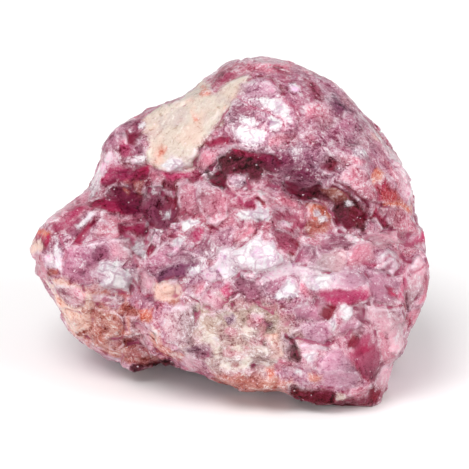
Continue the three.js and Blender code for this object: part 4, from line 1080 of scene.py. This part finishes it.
# The finish. Scales are per mm, colours linear, "At" gives the values between which a thing sets in
finish = {
    "ior": 1.56,
    "glint": 0.06,
    "roughness": (0.25, 0.5),
    "coat": 0.7,
    "coatRoughness": 0.14,
    "glow": 0.2,                # light that goes some way into the mica
    "glowRadius": (1.0, 0.35, 0.5),
    "glowScale": 0.0009,
    "bend": (0.6, 1.4),         # scale of the unevenness in all the patterns, and how far it goes in mm
    "sheetScale": 0.13,         # the streaks are drawn out along the sheets
    "sheetWay": (0.75, 0.55, 0.35),
    "crystals": 0.35,           # scales of the patterns
    "flakes": 0.6,
    "flecks": 1.5,
    "streaks": 2.6,
    "wisps": 0.5,
    "grains": 1.7,
    "fineGrains": 4.0,
    "threads": 0.8,
    "crystalTone": 0.14,        # how far each pattern moves a tint to dark or pale
    "wispTone": 1.1,
    "grainTone": 1.2,
    "fineTone": 0.8,
    "streakTone": 1.1,
    "deepening": 2.1,           # the dark version of a tint, as a power
    "deepMica": (1.0, 0.72, 1.0, 1),
    "deepMatrix": (1.0, 0.9, 0.85, 1),
    "paleOnDark": (0.24, 0.03, 0.08, 1),
    "paleOnPale": (0.66, 0.56, 0.60, 1),
    "paleMatrix": (0.74, 0.68, 0.60, 1),
    # Painted shade in the creases and a painted highlight on sharp edges
    "creaseShadeAt": (0.2, 0.8),
    "creaseShadeDark": (0.14, 0.005, 0.025, 1),
    "creaseShadePale": (0.34, 0.05, 0.12, 1),
    "edgeAt": (0.3, 0.8),
    "edge": (0.72, 0.59, 0.65, 1),
    "flakeAt": (0.35, 0.85),
    "flakeShade": (0.42, 0.355, 0.40, 1),
    "flakeLight": (0.72, 0.70, 0.705, 1),
    "crackAt": (0.02, 0.15),
    "crack": (0.36, 0.19, 0.27, 1),
    "thread": (0.72, 0.60, 0.65, 1),
    "glintSpeckAt": (0.12, 0.3),
    "glintSpeck": (0.74, 0.60, 0.66, 1),
    # strength and distance of each bump
    "streakBump": (0.2, 0.0003),
    "wispBump": (0.4, 0.0008),
    "crystalBump": (0.35, 0.001),
    "flakeBump": (0.2, 0.001),
}

stoneMaterial = bpy.data.materials.new("lepidolite_mica")
stoneMaterial.use_nodes = True


def addNode(kind, inputs=None, **settings):
    tree = stoneMaterial.node_tree
    made = tree.nodes.new(kind)
    for name, value in settings.items():
        setattr(made, name, value)
    for name, value in (inputs or {}).items():
        if isinstance(value, bpy.types.NodeSocket):
            tree.links.new(value, made.inputs[name])
        else:
            made.inputs[name].default_value = value
    return made


def maths(kind, *values):
    return addNode("ShaderNodeMath", dict(enumerate(values)), operation=kind).outputs[0]


def vector(kind, *values, part=0):
    return addNode("ShaderNodeVectorMath", dict(enumerate(values)), operation=kind).outputs[part]


def times(first, second):
    return maths("MULTIPLY", first, second)


def lessFromOne(value):
    return maths("SUBTRACT", 1.0, value)


def noise(place, scale, detail=3.0, rough=0.6, distortion=0.0, part=0):
    inputs = {"Vector": place, "Scale": scale, "Detail": detail, "Roughness": rough,
              "Distortion": distortion}
    return addNode("ShaderNodeTexNoise", inputs).outputs[part]


def cells(place, scale, feature="F1"):
    return addNode("ShaderNodeTexVoronoi", {"Vector": place, "Scale": scale}, feature=feature)


def luckOf(found, part):
    return addNode("ShaderNodeSeparateColor", {0: found.outputs["Color"]}).outputs[part]


def ranged(value, low, high, toLow=0.0, toHigh=1.0):
    inputs = {"Value": value, "From Min": low, "From Max": high, "To Min": toLow, "To Max": toHigh}
    return addNode("ShaderNodeMapRange", inputs, interpolation_type="SMOOTHSTEP").outputs[0]


# A cell that slopes its own way, as a height
def tilted(found, place):
    away = vector("SUBTRACT", place, found.outputs["Position"])
    lean = vector("SUBTRACT", found.outputs["Color"], (0.5, 0.5, 0.5))
    return vector("DOT_PRODUCT", away, lean, part="Value")


def mixed(share, first, second):
    # sockets 6 and 7 are the two colours, output 2 the mixed one
    return addNode("ShaderNodeMix", {0: share, 6: first, 7: second}, data_type="RGBA").outputs[2]


def attribute(name, part="Fac"):
    return addNode("ShaderNodeAttribute", attribute_name=name).outputs[part]


def brightnessOf(colour):
    return addNode("ShaderNodeRGBToBW", {0: colour}).outputs[0]


# Darker and paler within each tint
def unevenTint(value, tint, brightness, matt):
    deep = addNode("ShaderNodeGamma", {0: tint, 1: finish["deepening"]}).outputs[0]
    deep = vector("MULTIPLY", deep, mixed(matt, finish["deepMica"], finish["deepMatrix"]))
    colour = mixed(ranged(value, 0.0, -0.34, 0, 0.9), tint, deep)
    pale = mixed(ranged(brightness, 0.02, 0.25), finish["paleOnDark"], finish["paleOnPale"])
    pale = mixed(matt, pale, finish["paleMatrix"])
    share = times(ranged(value, 0.0, 0.36), ranged(brightness, 0.02, 0.25, 0.5, 0.85))
    return mixed(share, colour, pale)


# Painted shade: creases are darkened to crimson. Sharp edges are made pale: a painted highlight along the
# ridges, partly the pale edges of the mica
def shadedCreasesAndLitEdges(colour, value, brightness):
    proud = attribute("proud")
    sunk = maths("MULTIPLY_ADD", proud, -1.0, times(value, 0.5))
    crimson = mixed(ranged(brightness, 0.03, 0.22), finish["creaseShadeDark"], finish["creaseShadePale"])
    colour = mixed(ranged(sunk, *finish["creaseShadeAt"], 0, 0.85), colour, crimson)
    sharp = maths("MULTIPLY_ADD", value, 0.7, proud)
    share = times(ranged(sharp, *finish["edgeAt"]), ranged(brightness, 0.04, 0.2, 0, 0.35))
    return mixed(share, colour, finish["edge"])


# Pearly white flakes with cracks between them, partly a painted highlight
def flaked(colour, value, flakes, inMm, bent):
    share = ranged(maths("MULTIPLY_ADD", value, 0.9, attribute("pearlAndSheen")), *finish["flakeAt"], 0, 0.95)
    border = cells(bent, finish["flakes"], "DISTANCE_TO_EDGE").outputs["Distance"]
    crack = times(lessFromOne(ranged(border, *finish["crackAt"])), ranged(noise(inMm, 0.6), 0.36, 0.55))
    gloss = maths("MULTIPLY_ADD", luckOf(flakes, 1), 0.35, value)
    pearl = mixed(ranged(gloss, -0.25, 0.5), finish["flakeShade"], finish["flakeLight"])
    pearl = mixed(times(crack, 0.7), pearl, finish["crack"])
    return mixed(share, colour, pearl)


# Pale threads
def threaded(colour, glassy, brightness, mica, inMm, bent):
    contour = maths("ABSOLUTE", maths("SUBTRACT", noise(bent, finish["threads"], 4.0), 0.5))
    patches = ranged(noise(inMm, 0.45, 2.0), 0.42, 0.62, 0, 0.6)
    thread = times(lessFromOne(ranged(contour, 0.0, 0.03)), patches)
    thread = times(thread, lessFromOne(glassy))
    thread = times(thread, ranged(brightness, 0.04, 0.2, 0.04, 1))
    return mixed(times(thread, mica), colour, finish["thread"])


# Specks of broken mica on a quarter of the cells, painted pale as glints
def glintSpeckled(colour, bent):
    flecks = cells(bent, finish["flecks"])
    glintSpeck = times(lessFromOne(ranged(flecks.outputs["Distance"], *finish["glintSpeckAt"])),
                  ranged(luckOf(flecks, 0), 0.75, 1.0))
    return mixed(times(glintSpeck, 0.75), colour, finish["glintSpeck"])


def bumped(heights):
    bump = None
    for height, (strength, distance) in heights:
        inputs = {"Height": height, "Strength": strength, "Distance": distance}
        if bump is not None:
            inputs["Normal"] = bump
        bump = addNode("ShaderNodeBump", inputs).outputs[0]
    return bump


def stoneFinish():
    # places in millimetres, the same a little bent, and the same along the mica sheets
    place = addNode("ShaderNodeTexCoord").outputs["Object"]
    inMm = vector("MULTIPLY", place, (1 / millimetre,) * 3)
    scale, reach = finish["bend"]
    bent = vector("MULTIPLY_ADD", noise(inMm, scale, part="Color"), (reach,) * 3, inMm)
    height = maths("ADD", attribute("layer"), times(noise(inMm, 0.5), 1.2))
    raised = addNode("ShaderNodeVectorMath", {0: finish["sheetWay"], "Scale": height}, operation="SCALE")
    along = vector("MULTIPLY_ADD", bent, (finish["sheetScale"],) * 3, raised.outputs[0])

    streaks = noise(along, finish["streaks"])
    wisps = noise(inMm, finish["wisps"], 6.0, 0.68, 0.5)
    grains = noise(bent, finish["grains"], 4.0, 0.7)
    fineGrains = noise(bent, finish["fineGrains"], 2.0)
    crystals = cells(bent, finish["crystals"])
    flakes = cells(bent, finish["flakes"])

    matt, glassy = attribute("matt"), attribute("glassy")
    micaShare = lessFromOne(times(matt, 0.6))
    value = times(times(tilted(crystals, bent), finish["crystalTone"]), micaShare)
    patterns = {"wispTone": wisps, "grainTone": grains, "fineTone": fineGrains, "streakTone": streaks}
    for share, pattern in patterns.items():
        value = maths("MULTIPLY_ADD", maths("SUBTRACT", pattern, 0.5), finish[share], value)
    calm = maths("MULTIPLY_ADD", glassy, 0.75, times(maths("POWER", matt, 2.0), 0.35))
    value = times(value, maths("SUBTRACT", 1.12, calm))

    tint = attribute("tint", "Color")
    brightness = brightnessOf(tint)
    colour = unevenTint(value, tint, brightness, matt)
    colour = shadedCreasesAndLitEdges(colour, value, brightness)
    colour = flaked(colour, value, flakes, inMm, bent)
    colour = threaded(colour, glassy, brightness, micaShare, inMm, bent)
    colour = glintSpeckled(colour, bent)
    bump = bumped([
        (streaks, finish["streakBump"]),
        (wisps, finish["wispBump"]),
        (times(tilted(crystals, bent), micaShare), finish["crystalBump"]),
        (times(tilted(flakes, bent), micaShare), finish["flakeBump"]),
    ])
    coat = ranged(brightnessOf(colour), 0.05, 0.45, 0, finish["coat"])
    roughness = ranged(wisps, 0.3, 0.7, *finish["roughness"])

    shader = stoneMaterial.node_tree.nodes["Principled BSDF"]
    made = {"Base Color": colour, "Coat Weight": coat, "Roughness": roughness, "Normal": bump}
    for name, socket in made.items():
        stoneMaterial.node_tree.links.new(socket, shader.inputs[name])
    shader.inputs["IOR"].default_value = finish["ior"]
    shader.inputs["Specular IOR Level"].default_value = finish["glint"]
    shader.inputs["Subsurface Weight"].default_value = finish["glow"]
    shader.inputs["Subsurface Radius"].default_value = finish["glowRadius"]
    shader.inputs["Subsurface Scale"].default_value = finish["glowScale"]
    shader.inputs["Coat Roughness"].default_value = finish["coatRoughness"]


# Over 0 on edges that stand out, under 0 in creases
def proudness(shaped, smooth, normals, edges):
    nearby = shaped
    for _ in range(surface["creasePasses"]):
        nearby = neighbourMean(nearby, edges)
    away = (shaped - nearby) * 3 + (shaped - smooth) * 0.25
    return (away * normals).sum(1)


def makeStone():
    mesh = fineMesh()
    points = readOut(mesh.vertices, "co", 3)
    edges = readOut(mesh.edges, "vertices", 2, np.int64)
    faces = readOut(mesh.loops, "vertex_index", 1, np.int64).reshape(-1, 4)
    print("stone: fine mesh of", len(points), "points")
    tree = BVHTree.FromPolygons(points.tolist(), faces.tolist())
    shaped, smooth, normals = sculpt(points, edges, faces, tree)
    print("stone: sculpted")
    mesh.vertices.foreach_set("co", shaped.ravel())
    mesh.update()
    thin = thinned(mesh)
    print("stone: thinned to", len(thin.polygons), "triangles")

    final = readOut(thin.vertices, "co", 3)
    marks = paint(final, readOut(thin.vertex_normals, "vector", 3), tree)
    finder = finderOf(shaped)
    nearest = [finder.find(point)[1] for point in final]
    marks["proud"] = proudness(shaped, smooth, normals, edges)[nearest]
    tint = np.column_stack([marks.pop("tint"), np.ones(len(final))])
    thin.attributes.new("tint", "FLOAT_COLOR", "POINT").data.foreach_set("color", tint.ravel())
    for name, values in marks.items():
        thin.attributes.new(name, "FLOAT", "POINT").data.foreach_set("value", values)
    thin.vertices.foreach_set("co", (final * millimetre).ravel())
    thin.update()
    print("stone: painted")

    thin.name = "lepidolite"
    stone = bpy.data.objects.new("lepidolite", thin)
    bpy.context.scene.collection.objects.link(stone)
    for polygon in thin.polygons:
        polygon.use_smooth = True
    stoneFinish()
    thin.materials.clear()
    thin.materials.append(stoneMaterial)
    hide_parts("lepidolite_stone")
    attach(stone, "root")
    print("stone: finished")


makeCamera()
makeFloor()
makeLight()
print("studio: set")
makeStone()
